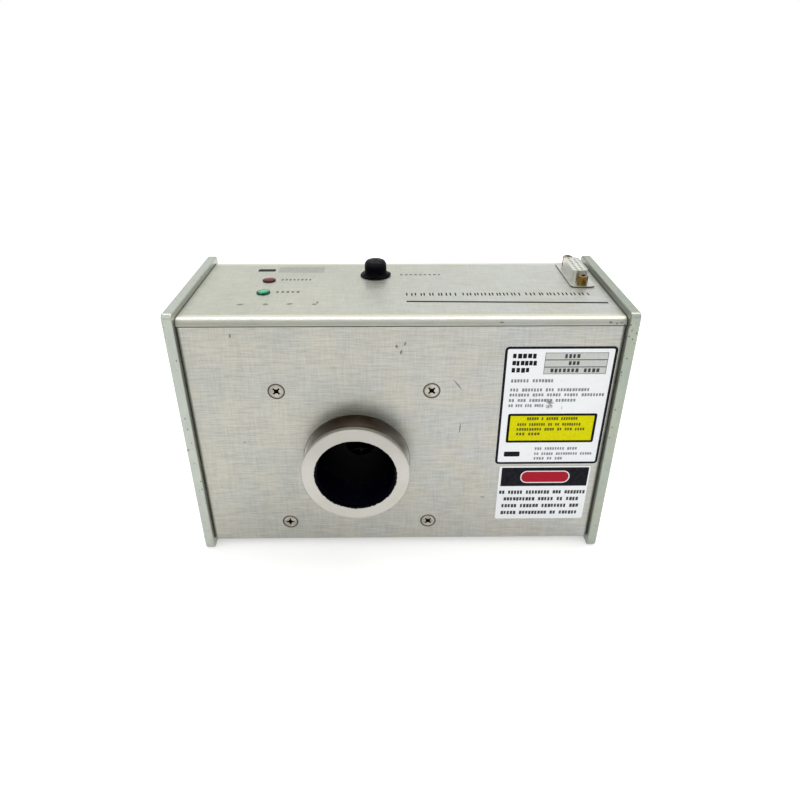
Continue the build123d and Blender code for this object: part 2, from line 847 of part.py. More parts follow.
with BuildPart() as photodiode:
    ring(
        detector_face,
        0,
        photodiode_flange_r,
        detector_tube_end,
        detector_tube_end + photodiode_flange_thickness,
    )
    ring(
        detector_face,
        0,
        photodiode_can_r,
        detector_tube_end - photodiode_can_length,
        detector_tube_end,
    )
    with BuildSketch(shifted(detector_face, 0, 0, detector_tube_end + photodiode_flange_thickness)):
        with PolarLocations(photodiode_pin_circle, 2):
            Circle(diode_pin_r)
    extrude(amount=photodiode_pin_length)

photodiode.part.label = "photodiode"
export_step(photodiode.part, "parts/photodiode.step")

# ---- preamplifier board on three riveted studs -----------------------------------------
preamp_under = detector_tube_end + preamp_lift

with BuildPart() as preamp_studs:
    with Locations(detector_face):
        with PolarLocations(preamp_stud_circle, 3, start_angle=90):
            with Locations((0, 0, detector_tube_end)):
                Cylinder(preamp_stud_r, preamp_lift, align=(Align.CENTER, Align.CENTER, Align.MIN))
            with Locations((0, 0, detector_tube_end - detector_roof)):
                Cylinder(
                    preamp_pin_r,
                    detector_roof + preamp_lift + board_thickness,
                    align=(Align.CENTER, Align.CENTER, Align.MIN),
                )
            with Locations((0, 0, preamp_under + board_thickness)):
                Cylinder(preamp_stud_r, preamp_head_height, align=(Align.CENTER, Align.CENTER, Align.MIN))

preamp_studs.part.label = "preamp_studs"
export_step(preamp_studs.part, "parts/preamp_studs.step")

with BuildPart() as preamp_board:
    with BuildSketch(shifted(detector_face, 0, 0, preamp_under)):
        RectangleRounded(preamp_width, preamp_depth, board_corner)
    extrude(amount=board_thickness)
    with Locations(shifted(detector_face, 0, 0, preamp_under + board_thickness)):
        with PolarLocations(preamp_stud_circle, 3, start_angle=90):
            Hole(preamp_pin_r + thread_gap, board_thickness)
        with PolarLocations(photodiode_pin_circle, 2):
            Hole(diode_pin_r + thread_gap, board_thickness)

preamp_board.part.label = "preamp_board"
export_step(preamp_board.part, "parts/preamp_board.step")

with BuildPart() as preamp_chips:
    with BuildSketch(shifted(detector_face, 0, 0, preamp_under + board_thickness)):
        with Locations((-preamp_width / 2 + chip_width, 0), (preamp_width / 2 - chip_width, 0)):
            RectangleRounded(chip_width, chip_length / 2, chip_corner)
    extrude(amount=chip_height)

preamp_chips.part.label = "preamp_chips"
export_step(preamp_chips.part, "parts/preamp_chips.step")

# ---- mirror below the bore, with its cover plate ---------------------------------------
with BuildPart() as collecting_mirror:
    with BuildSketch(Plane(mirror_face.origin, x_dir=(1, 0, 0), z_dir=(0, 1, 0))) as mirror_section:
        with BuildLine():
            Line((0, large_seat + mirror_hollow), (0, large_seat + mirror_thickness))
            Line((0, large_seat + mirror_thickness), (large_r, large_seat + mirror_thickness))
            Line((large_r, large_seat + mirror_thickness), (large_r, large_seat))
            Line((large_r, large_seat), (collect_hole_r, large_seat))
            dome(collect_hole_r, large_seat, large_seat + mirror_hollow)
        make_face()
    revolve(axis=Axis(mirror_face.origin, mirror_face.z_dir))

collecting_mirror.part.label = "collecting_mirror"
export_step(collecting_mirror.part, "parts/collecting_mirror.step")

with BuildPart() as mirror_cover:
    with BuildSketch(mirror_face):
        RectangleRounded(square_flange, square_flange, square_flange_corner)
    extrude(amount=mirror_cover_thickness)
    ring(mirror_face, 0, large_r, large_seat + mirror_thickness, 0)
    with Locations(shifted(mirror_face, 0, 0, mirror_cover_thickness)):
        with GridLocations(square_flange_bolt_pitch, square_flange_bolt_pitch, 2, 2):
            Hole(m3_clear_r, mirror_cover_thickness)

mirror_cover.part.label = "mirror_cover"
export_step(mirror_cover.part, "parts/mirror_cover.step")

# ---- M3 screws of the four optical flanges ---------------------------------------------
with BuildPart() as optics_screws:
    for face in (laser_face, stop_face):
        with Locations(shifted(face, 0, 0, round_flange_thickness)):
            with PolarLocations(round_flange_bolt_r, 4, start_angle=45):
                add(socket_screw(m3_r, m3_head_r, m3_head_height, round_flange_thickness + m3_grip))
    for face, thickness in ((detector_face, square_flange_thickness), (mirror_face, mirror_cover_thickness)):
        with Locations(shifted(face, 0, 0, thickness)):
            with GridLocations(square_flange_bolt_pitch, square_flange_bolt_pitch, 2, 2):
                add(socket_screw(m3_r, m3_head_r, m3_head_height, thickness + m3_grip))

optics_screws.part.label = "optics_screws"
export_step(optics_screws.part, "parts/optics_screws.step")

# ---- main board on four standoffs, on the floor to the right of the block --------------
board_bolts_x = board_width - 2 * board_inset
board_bolts_y = board_depth - 2 * board_inset
board_plane = Plane((board_middle, 0, board_top), x_dir=(1, 0, 0), z_dir=(0, 0, 1))
floor_plane = Plane((board_middle, 0, floor_top), x_dir=(1, 0, 0), z_dir=(0, 0, 1))

with BuildPart() as board_standoffs:
    with BuildSketch(floor_plane):
        with GridLocations(board_bolts_x, board_bolts_y, 2, 2):
            RegularPolygon(standoff_flats / 2, 6, major_radius=False)
            Circle(standoff_stud_r + thread_gap, mode=Mode.SUBTRACT)
    extrude(amount=standoff_height)

board_standoffs.part.label = "board_standoffs"
export_step(board_standoffs.part, "parts/board_standoffs.step")

with BuildPart() as main_board:
    with BuildSketch(shifted(board_plane, 0, 0, -board_thickness)):
        RectangleRounded(board_width, board_depth, board_corner)
        with GridLocations(board_bolts_x, board_bolts_y, 2, 2):
            Circle(standoff_stud_r + fit_gap, mode=Mode.SUBTRACT)
    extrude(amount=board_thickness)

main_board.part.label = "main_board"
export_step(main_board.part, "parts/main_board.step")

with BuildPart() as board_screws:
    with Locations(board_plane):
        with GridLocations(board_bolts_x, board_bolts_y, 2, 2):
            add(
                socket_screw(
                    standoff_stud_r, board_screw_head_r, board_screw_head_height, board_screw_length
                )
            )

board_screws.part.label = "board_screws"
export_step(board_screws.part, "parts/board_screws.step")

with BuildPart() as power_converter:
    with BuildSketch(shifted(board_plane, (converter_width - board_width) / 2 + converter_inset, 0)):
        RectangleRounded(converter_width, converter_length, converter_corner)
    extrude(amount=converter_height)

power_converter.part.label = "power_converter"
export_step(power_converter.part, "parts/power_converter.step")

with BuildPart() as logic_chips:
    chips_middle = (chips_left + chips_right - board_width) / 2
    with BuildSketch(shifted(board_plane, chips_middle, chip_length + chip_gap - board_depth / 2)):
        with GridLocations(chip_pitch, chip_length + chip_gap, 2, 2):
            RectangleRounded(chip_width, chip_length, chip_corner)
    extrude(amount=chip_height)

logic_chips.part.label = "logic_chips"
export_step(logic_chips.part, "parts/logic_chips.step")

with BuildPart() as capacitors:
    with Locations(shifted(board_plane, board_width / 2 - capacitor_inset, -board_depth / 4)):
        with GridLocations(capacitor_pitch, capacitor_pitch, 1, 2):
            Cylinder(capacitor_r, capacitor_height, align=(Align.CENTER, Align.CENTER, Align.MIN))
    fillet(capacitors.edges().filter_by(GeomType.CIRCLE).group_by(Axis.Z)[-1], capacitor_edge)

capacitors.part.label = "capacitors"
export_step(capacitors.part, "parts/capacitors.step")

# ---- ribbon from the D connector down to a box header ----------------------------------
header_x = dsub_x - ribbon_offset
header_plane = Plane((header_x, dsub_y, board_top), x_dir=(1, 0, 0), z_dir=(0, 0, 1))

with BuildPart() as board_header:
    with BuildSketch(header_plane):
        Rectangle(header_width, header_length)
    extrude(amount=header_height)
    with BuildSketch(shifted(header_plane, 0, 0, header_height)):
        Rectangle(header_width - 2 * header_wall, header_length - 2 * header_wall)
    extrude(amount=-(header_height - header_floor), mode=Mode.SUBTRACT)

board_header.part.label = "board_header"
export_step(board_header.part, "parts/board_header.step")

dsub_back_z = cover_top - dsub_back_depth
ribbon_high = dsub_back_z - ribbon_thickness / 2
ribbon_low = board_top + header_floor + ribbon_thickness / 2
ribbon_middle = (ribbon_high + ribbon_low) / 2

with BuildPart() as ribbon_lead:
    with BuildSketch(Plane.XZ.offset(-dsub_y)) as ribbon_section:
        with BuildLine() as ribbon_path:
            FilletPolyline(
                (dsub_x, ribbon_high),
                (dsub_x, ribbon_middle + ribbon_bend),
                (header_x, ribbon_middle - ribbon_bend),
                (header_x, ribbon_low),
                radius=ribbon_bend,
            )
            offset(amount=ribbon_thickness / 2, side=Side.BOTH)
        make_face()
    extrude(amount=ribbon_width / 2, both=True)

ribbon_lead.part.label = "ribbon_lead"
export_step(ribbon_lead.part, "parts/ribbon_lead.step")

# ---- indicators: lens in the cover, lamp inside it, spring clip under the cover --------
lamp_top = -lens_cavity_top - lamp_dome_gap
lamp_seat = -lens_shank_length
lamp_bottom = lamp_seat - lamp_base_height

for name, place in (("red", red_y), ("green", green_y)):
    seat = Plane((indicator_x, place, cover_top), x_dir=(1, 0, 0), z_dir=(0, 0, 1))
    with BuildPart() as indicator_lens:
        with BuildSketch(Plane(seat.origin, x_dir=(1, 0, 0), z_dir=(0, -1, 0))) as lens_half:
            with BuildLine():
                Line((0, -lens_cavity_top), (lens_cavity_r, -lens_cavity_top))
                Line((lens_cavity_r, -lens_cavity_top), (lens_cavity_r, -lens_shank_length))
                Line((lens_cavity_r, -lens_shank_length), (lens_shank_r, -lens_shank_length))
                Line((lens_shank_r, -lens_shank_length), (lens_shank_r, 0))
                Line((lens_shank_r, 0), (lens_rim_r, 0))
                Line((lens_rim_r, 0), (lens_rim_r, lens_rim_height))
                dome(lens_rim_r, lens_rim_height, lens_rim_height + lens_crown)
                Line((0, lens_rim_height + lens_crown), (0, -lens_cavity_top))
            make_face()
        revolve(axis=Axis(seat.origin, (0, 0, 1)))
    indicator_lens.part.label = f"{name}_lens"
    export_step(indicator_lens.part, f"parts/{name}_lens.step")

    with BuildPart() as lamp:
        with BuildSketch(Plane(seat.origin, x_dir=(1, 0, 0), z_dir=(0, -1, 0))) as lamp_half:
            with BuildLine():
                Line((0, lamp_top), (0, lamp_bottom))
                Line((0, lamp_bottom), (lamp_base_r, lamp_bottom))
                Line((lamp_base_r, lamp_bottom), (lamp_base_r, lamp_seat))
                Line((lamp_base_r, lamp_seat), (lamp_r, lamp_seat))
                Line((lamp_r, lamp_seat), (lamp_r, lamp_top - lamp_r))
                dome(lamp_r, lamp_top - lamp_r, lamp_top)
            make_face()
        revolve(axis=Axis(seat.origin, (0, 0, 1)))
        with BuildSketch(shifted(seat, 0, 0, lamp_bottom)):
            with Locations((-lamp_lead_pitch / 2, 0), (lamp_lead_pitch / 2, 0)):
                Rectangle(lamp_lead, lamp_lead)
        extrude(amount=-lamp_lead_length)
    lamp.part.label = f"{name}_lamp"
    export_step(lamp.part, f"parts/{name}_lamp.step")

with BuildPart() as lens_clips:
    for place in (red_y, green_y):
        seat = Plane((indicator_x, place, cover_under), x_dir=(1, 0, 0), z_dir=(0, 0, 1))
        ring(seat, lens_shank_r + thread_gap, clip_r, -clip_height, 0)

lens_clips.part.label = "lens_clips"
export_step(lens_clips.part, "parts/lens_clips.step")

# ---- 15-way D connector: drawn steel shell, moulded body, contacts, jack posts, nuts ----
dsub_plane = Plane((dsub_x, dsub_y, cover_top), x_dir=(0, 1, 0), z_dir=(0, 0, 1))
shell_base = dsub_flange_thickness
slant = dsub_shell_width * tan(radians(dsub_shell_slant)) / 2


def d_outline(inset):
    """Points of the D, its wide side towards the left of the case, drawn inset by a gap."""
    half_width = dsub_shell_width / 2 - inset
    wide = dsub_shell_length / 2 - inset
    narrow = wide - 2 * slant
    return [(-wide, half_width), (wide, half_width), (narrow, -half_width), (-narrow, -half_width)]


with BuildPart() as dsub_shell:
    with BuildSketch(dsub_plane):
        RectangleRounded(dsub_flange_length, dsub_flange_width, dsub_flange_corner)
        with Locations((-dsub_hole_pitch / 2, 0), (dsub_hole_pitch / 2, 0)):
            Circle(dsub_hole_r, mode=Mode.SUBTRACT)
    extrude(amount=dsub_flange_thickness)
    with BuildSketch(shifted(dsub_plane, 0, 0, shell_base)) as d_tube:
        with BuildLine():
            Polyline(*d_outline(0), close=True)
        make_face()
        fillet(d_tube.vertices(), dsub_shell_corner)
    extrude(amount=dsub_shell_height)
    with BuildSketch(dsub_plane) as d_hole:
        with BuildLine():
            Polyline(*d_outline(dsub_shell_wall), close=True)
        make_face()
        fillet(d_hole.vertices(), dsub_shell_corner - dsub_shell_wall)
    extrude(amount=shell_base + dsub_shell_height, mode=Mode.SUBTRACT)

dsub_shell.part.label = "dsub_shell"
export_step(dsub_shell.part, "parts/dsub_shell.step")

long_row = [(dsub_pitch * (i - 7 / 2), dsub_row_gap / 2) for i in range(8)]
short_row = [(dsub_pitch * (i - 6 / 2), -dsub_row_gap / 2) for i in range(7)]
contact_places = long_row + short_row
body_top = shell_base + dsub_shell_height - dsub_body_drop

with BuildPart() as dsub_body:
    with BuildSketch(dsub_plane) as d_core:
        with BuildLine():
            Polyline(*d_outline(dsub_shell_wall + thread_gap), close=True)
        make_face()
        fillet(d_core.vertices(), dsub_shell_corner - dsub_shell_wall - thread_gap)
    extrude(amount=body_top)
    with BuildSketch(dsub_plane):
        RectangleRounded(dsub_back_length, dsub_back_width, dsub_back_corner)
    extrude(amount=-dsub_back_depth)
    with BuildSketch(shifted(dsub_plane, 0, 0, body_top)):
        with Locations(*contact_places):
            Circle(contact_r + contact_gap)
    extrude(amount=-(body_top + dsub_back_depth), mode=Mode.SUBTRACT)

dsub_body.part.label = "dsub_body"
export_step(dsub_body.part, "parts/dsub_body.step")

with BuildPart() as dsub_contacts:
    with BuildSketch(shifted(dsub_plane, 0, 0, -dsub_back_depth - contact_tail)):
        with Locations(*contact_places):
            Circle(contact_r)
    extrude(amount=body_top - contact_drop + dsub_back_depth + contact_tail)
    with BuildSketch(shifted(dsub_plane, 0, 0, body_top - contact_drop)):
        with Locations(*contact_places):
            Circle(contact_bore_r)
    extrude(amount=-contact_bore_depth, mode=Mode.SUBTRACT)

dsub_contacts.part.label = "dsub_contacts"
export_step(dsub_contacts.part, "parts/dsub_contacts.step")

with BuildPart() as jack_posts:
    with BuildSketch(shifted(dsub_plane, 0, 0, dsub_flange_thickness)):
        with Locations((-dsub_hole_pitch / 2, 0), (dsub_hole_pitch / 2, 0)):
            RegularPolygon(jack_flats / 2, 6, major_radius=False, rotation=90)
    extrude(amount=jack_height)
    chamfer(jack_posts.edges().group_by(Axis.Z)[-1], jack_edge)
    with BuildSketch(shifted(dsub_plane, 0, 0, dsub_flange_thickness)):
        with Locations((-dsub_hole_pitch / 2, 0), (dsub_hole_pitch / 2, 0)):
            Circle(jack_thread_r)
    extrude(amount=-jack_tail)
    with Locations(shifted(dsub_plane, 0, 0, dsub_flange_thickness + jack_height)):
        with Locations((-dsub_hole_pitch / 2, 0), (dsub_hole_pitch / 2, 0)):
            Hole(jack_hole_r, jack_height)

jack_posts.part.label = "jack_posts"
export_step(jack_posts.part, "parts/jack_posts.step")

with BuildPart() as jack_nuts:
    with BuildSketch(shifted(dsub_plane, 0, 0, -sheet)):
        with Locations((-dsub_hole_pitch / 2, 0), (dsub_hole_pitch / 2, 0)):
            RegularPolygon(jack_nut_flats / 2, 6, major_radius=False, rotation=90)
            Circle(jack_thread_r + thread_gap, mode=Mode.SUBTRACT)
    extrude(amount=-jack_nut_height)

jack_nuts.part.label = "jack_nuts"
export_step(jack_nuts.part, "parts/jack_nuts.step")

# ---- round connector: shell, hexagon nut, insulator and pins ---------------------------
socket_plane = Plane((socket_x, socket_y, cover_top), x_dir=(1, 0, 0), z_dir=(0, 0, 1))

with BuildPart() as socket_shell:
    turn(
        socket_plane,
        [
            (socket_bore_r, socket_height),
            (socket_r - socket_edge, socket_height),
            (socket_r, socket_height - socket_edge),
            (socket_r, -sheet),
            (socket_flange_r, -sheet),
            (socket_flange_r, -sheet - socket_flange_thickness),
            (socket_r, -sheet - socket_flange_thickness),
            (socket_r, -sheet - socket_tail_length),
            (socket_bore_r, -sheet - socket_tail_length),
        ],
    )

socket_shell.part.label = "socket_shell"
export_step(socket_shell.part, "parts/socket_shell.step")

with BuildPart() as socket_nut:
    with BuildSketch(socket_plane):
        RegularPolygon(socket_nut_flats / 2, 6, major_radius=False)
        Circle(socket_r + thread_gap, mode=Mode.SUBTRACT)
    extrude(amount=socket_nut_height)

socket_nut.part.label = "socket_nut"
export_step(socket_nut.part, "parts/socket_nut.step")

with BuildPart() as socket_insert:
    ring(socket_plane, 0, socket_bore_r - thread_gap, -sheet - socket_tail_length, socket_insert_height)
    with Locations(shifted(socket_plane, 0, 0, socket_insert_height)):
        with PolarLocations(socket_pin_circle, socket_pin_count):
            Hole(socket_pin_r + thread_gap, socket_insert_height + sheet + socket_tail_length)

socket_insert.part.label = "socket_insert"
export_step(socket_insert.part, "parts/socket_insert.step")

with BuildPart() as socket_pins:
    with BuildSketch(shifted(socket_plane, 0, 0, -sheet - socket_tail_length - socket_pin_tail)):
        with PolarLocations(socket_pin_circle, socket_pin_count):
            Circle(socket_pin_r)
    extrude(amount=socket_pin_top + sheet + socket_tail_length + socket_pin_tail)

socket_pins.part.label = "socket_pins"
export_step(socket_pins.part, "parts/socket_pins.step")

# ---- dust cap: soft moulding pulled over the round connector, with a flared skirt ------
cap_plane = shifted(socket_plane, 0, 0, cap_seat_gap)
cap_bore_r = socket_r + cap_gap
cap_bore_top = socket_height + cap_gap

with BuildPart() as dust_cap:
    with BuildSketch(Plane(cap_plane.origin, x_dir=(1, 0, 0), z_dir=(0, -1, 0))) as cap_half:
        with BuildLine():
            Line((cap_bore_r, cap_bore_top), (cap_bore_r, cap_skirt_height - cap_bore_flare))
            Spline(
                (cap_bore_r, cap_skirt_height - cap_bore_flare),
                (cap_skirt_r - cap_skirt_waist - cap_bore_flare, cap_skirt_height / 2),
                (cap_skirt_r - cap_skirt_edge, 0),
            )
            Line((cap_skirt_r - cap_skirt_edge, 0), (cap_skirt_r, 0))
            Line((cap_skirt_r, 0), (cap_skirt_r, cap_skirt_lip))
            Spline(
                (cap_skirt_r, cap_skirt_lip),
                (cap_skirt_r - cap_skirt_waist, cap_skirt_height / 2),
                (cap_wall_r, cap_skirt_height),
            )
            Line((cap_wall_r, cap_skirt_height), (cap_wall_r, cap_shoulder))
            ThreePointArc(
                (cap_wall_r, cap_shoulder),
                (cap_crown_r, cap_top - cap_crown_drop),
                (cap_bump_r, cap_top),
            )
            dome(cap_bump_r, cap_top, cap_top + cap_bump_height)
            Line((0, cap_top + cap_bump_height), (0, cap_bore_top))
            Line((0, cap_bore_top), (cap_bore_r, cap_bore_top))
        make_face()
    revolve(axis=Axis(cap_plane.origin, (0, 0, 1)))

dust_cap.part.label = "dust_cap"
export_step(dust_cap.part, "parts/dust_cap.step")

# ---- labels: printed foil stuck to the front panel -------------------------------------
for name, from_right, width, up, corner in (
    ("data_label", data_label_from_right, data_label_width, data_label_z, label_corner),
    ("lower_label", lower_label_from_right, lower_label_width, lower_label_z, lower_label_corner),
):
    with BuildPart() as label:
        with BuildSketch(Plane.XZ.offset(panel_y)):
            with Locations((body_width / 2 - from_right - width / 2, (up[0] + up[1]) / 2)):
                RectangleRounded(width, up[1] - up[0], corner)
        extrude(amount=label_thickness)
    label.part.label = name
    export_step(label.part, f"parts/{name}.step")
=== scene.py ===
"""Finishes, print, soft cap, light and camera for the vacuum-line particle detector."""

import math
import random

import bmesh
import bpy
from mathutils import Matrix, Vector


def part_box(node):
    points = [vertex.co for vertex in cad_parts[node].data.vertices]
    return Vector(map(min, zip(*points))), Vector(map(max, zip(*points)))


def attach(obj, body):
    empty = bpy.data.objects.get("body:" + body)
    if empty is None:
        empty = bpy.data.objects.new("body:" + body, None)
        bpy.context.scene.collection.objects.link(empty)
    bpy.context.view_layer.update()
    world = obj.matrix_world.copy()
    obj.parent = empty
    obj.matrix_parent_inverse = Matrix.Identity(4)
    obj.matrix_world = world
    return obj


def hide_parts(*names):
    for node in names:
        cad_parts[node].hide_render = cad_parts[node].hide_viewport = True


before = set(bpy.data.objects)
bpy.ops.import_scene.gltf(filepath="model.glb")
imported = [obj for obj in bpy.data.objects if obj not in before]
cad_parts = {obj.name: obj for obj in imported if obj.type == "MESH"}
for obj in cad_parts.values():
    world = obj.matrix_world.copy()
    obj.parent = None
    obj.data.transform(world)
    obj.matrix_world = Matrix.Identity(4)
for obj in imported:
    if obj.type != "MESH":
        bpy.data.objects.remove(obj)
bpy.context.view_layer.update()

# ---- camera ----
# Someone leans over the bench, close in front of the port, and looks down on the case.
# The lens is a little wide, which spreads the end plates towards the top.
camera_place = (-0.0042, -0.3146, 0.2517)
camera_down = math.radians(30.03)
camera_turn = math.radians(-0.81)
camera_roll = math.radians(0.12)
image_width = 800
focal_length_px = 635.4
lens_centre_px = (401.1, 400.6)

camera_data = bpy.data.cameras.new("camera")
camera_data.sensor_width = 36
camera_data.lens = camera_data.sensor_width * focal_length_px / image_width
camera_data.shift_x = (image_width / 2 - lens_centre_px[0]) / image_width
camera_data.shift_y = (lens_centre_px[1] - image_width / 2) / image_width
camera = bpy.data.objects.new("camera", camera_data)
camera.matrix_world = (
    Matrix.Translation(camera_place)
    @ Matrix.Rotation(camera_turn, 4, "Z")
    @ Matrix.Rotation(math.pi / 2 - camera_down, 4, "X")
    @ Matrix.Rotation(camera_roll, 4, "Z")
)
bpy.context.scene.collection.objects.link(camera)
bpy.context.scene.camera = camera
bpy.context.scene.view_settings.view_transform = "Standard"


# ---- floor, daylight and softboxes ----
# A white sweep of board that the case stands on, under an even white tent.
# The main softbox hangs overhead, a little behind the case, and a weaker one fills the front.
def place_node(tree, kind, inputs=None, **settings):
    """Adds a node, sets it up, and sets or joins its inputs."""
    node = tree.nodes.new(kind)
    for name, value in settings.items():
        setattr(node, name, value)
    for key, value in (inputs or {}).items():
        if isinstance(value, bpy.types.NodeSocket):
            tree.links.new(value, node.inputs[key])
        else:
            node.inputs[key].default_value = value
    return node


def seen_directly(tree):
    """1 for rays that show the background itself: camera, mirror and glass rays."""
    path = place_node(tree, "ShaderNodeLightPath")
    shiny = place_node(
        tree,
        "ShaderNodeMath",
        {0: path.outputs["Is Glossy Ray"], 1: path.outputs["Is Transmission Ray"]},
        operation="MAXIMUM",
    )
    both = place_node(
        tree,
        "ShaderNodeMath",
        {0: path.outputs["Is Camera Ray"], 1: shiny.outputs[0]},
        operation="MAXIMUM",
    )
    return both.outputs[0]


tent_light = 0.72
world = bpy.data.worlds.new("white_tent")
bpy.context.scene.world = world
world.use_nodes = True
tree = world.node_tree
tree.nodes.clear()
strength = place_node(
    tree,
    "ShaderNodeMapRange",
    {"Value": seen_directly(tree), "To Min": tent_light, "To Max": 1.0},
)
tent = place_node(
    tree,
    "ShaderNodeBackground",
    {"Color": (1.0, 1.0, 1.0, 1.0), "Strength": strength.outputs[0]},
)
place_node(tree, "ShaderNodeOutputWorld", {"Surface": tent.outputs[0]})

floor_size = 6.0
floor_white = (0.93, 0.93, 0.93, 1.0)
floor_glow = 0.38
floor_finish = bpy.data.materials.new("floor_board")
floor_finish.use_nodes = True
tree = floor_finish.node_tree
tree.nodes.clear()
board = place_node(tree, "ShaderNodeBsdfDiffuse", {"Color": floor_white})
share = place_node(
    tree,
    "ShaderNodeMath",
    {0: seen_directly(tree), 1: floor_glow},
    operation="MULTIPLY",
)
glow = place_node(
    tree, "ShaderNodeEmission", {"Color": (1.0, 1.0, 1.0, 1.0), "Strength": share.outputs[0]}
)
lifted = place_node(tree, "ShaderNodeAddShader", {0: board.outputs[0], 1: glow.outputs[0]})
place_node(tree, "ShaderNodeOutputMaterial", {"Surface": lifted.outputs[0]})
floor_mesh = bpy.data.meshes.new("floor")
half = floor_size / 2
floor_mesh.from_pydata(
    [(-half, -half, 0.0), (half, -half, 0.0), (half, half, 0.0), (-half, half, 0.0)],
    [],
    [(0, 1, 2, 3)],
)
floor_mesh.materials.append(floor_finish)
floor = bpy.data.objects.new("floor", floor_mesh)
bpy.context.scene.collection.objects.link(floor)

softboxes = {
    "top_softbox": {"place": (0.10, 0.30, 1.10), "size": (1.5, 0.5), "watts": 8.5},
    "front_softbox": {"place": (-0.20, -0.85, 1.00), "size": (1.6, 1.0), "watts": 2.8},
}
softbox_aim = Vector((0.0, 0.0, 0.07))
for name, softbox in softboxes.items():
    lamp = bpy.data.lights.new(name, "AREA")
    lamp.shape = "RECTANGLE"
    lamp.size, lamp.size_y = softbox["size"]
    lamp.energy = softbox["watts"]
    holder = bpy.data.objects.new(name, lamp)
    holder.location = softbox["place"]
    aim = softbox_aim - holder.location
    holder.rotation_euler = aim.to_track_quat("-Z", "Y").to_euler()
    bpy.context.scene.collection.objects.link(holder)


# ---- chassis: folded sheet ----
# Floor, front and rear are one sheet of aluminium, brushed along its length and clear
# anodised; its colour runs darker and yellower towards the left.  A dark ring of painted
# shade lies round each screw head, in the gap at its edge, and a few small dents and
# scratches mark the front.
def new_group(name, takes, gives):
    """An empty node group whose sockets take their kind from their default values."""
    group = bpy.data.node_groups.new(name, "ShaderNodeTree")
    kinds = {1: "NodeSocketFloat", 3: "NodeSocketVector", 4: "NodeSocketColor"}
    for title, default in takes.items():
        size = len(default) if isinstance(default, tuple) else 1
        socket = group.interface.new_socket(title, in_out="INPUT", socket_type=kinds[size])
        socket.default_value = default
    for title, size in gives.items():
        group.interface.new_socket(title, in_out="OUTPUT", socket_type=kinds[size])
    return group, group.nodes.new("NodeGroupInput"), group.nodes.new("NodeGroupOutput")


def use_group(tree, group, inputs=None):
    """Places a group in a material with its own values."""
    node = tree.nodes.new("ShaderNodeGroup")
    node.node_tree = group
    for key, value in (inputs or {}).items():
        if isinstance(value, bpy.types.NodeSocket):
            tree.links.new(value, node.inputs[key])
        else:
            node.inputs[key].default_value = value
    return node


def sums(tree, operation, first, second):
    """One step of arithmetic on numbers or sockets."""
    return place_node(tree, "ShaderNodeMath", {0: first, 1: second}, operation=operation).outputs[0]


def blended(tree, share, first, second):
    """Mixes two colours by a mask."""
    node = place_node(
        tree,
        "ShaderNodeMix",
        {"Factor": share, 6: first, 7: second},
        data_type="RGBA",
    )
    return node.outputs[2]


def ramped(tree, value, low, high, start=0.0, end=1.0):
    """Runs a number smoothly from start to end as it goes from low to high."""
    node = place_node(
        tree,
        "ShaderNodeMapRange",
        {"Value": value, "From Min": low, "From Max": high, "To Min": start, "To Max": end},
        interpolation_type="SMOOTHSTEP",
    )
    return node.outputs[0]


def noise_at(tree, place, scale, detail=2.0, roughness=0.5):
    """Noise read at a place, about 0.5 on average."""
    node = place_node(
        tree,
        "ShaderNodeTexNoise",
        {"Vector": place, "Scale": scale, "Detail": detail, "Roughness": roughness},
    )
    return node.outputs["Fac"]


def object_place(tree):
    """The place on the object in metres, and the same place split into X, Y and Z."""
    place = place_node(tree, "ShaderNodeTexCoord").outputs["Object"]
    split = place_node(tree, "ShaderNodeSeparateXYZ", {0: place})
    return place, split.outputs


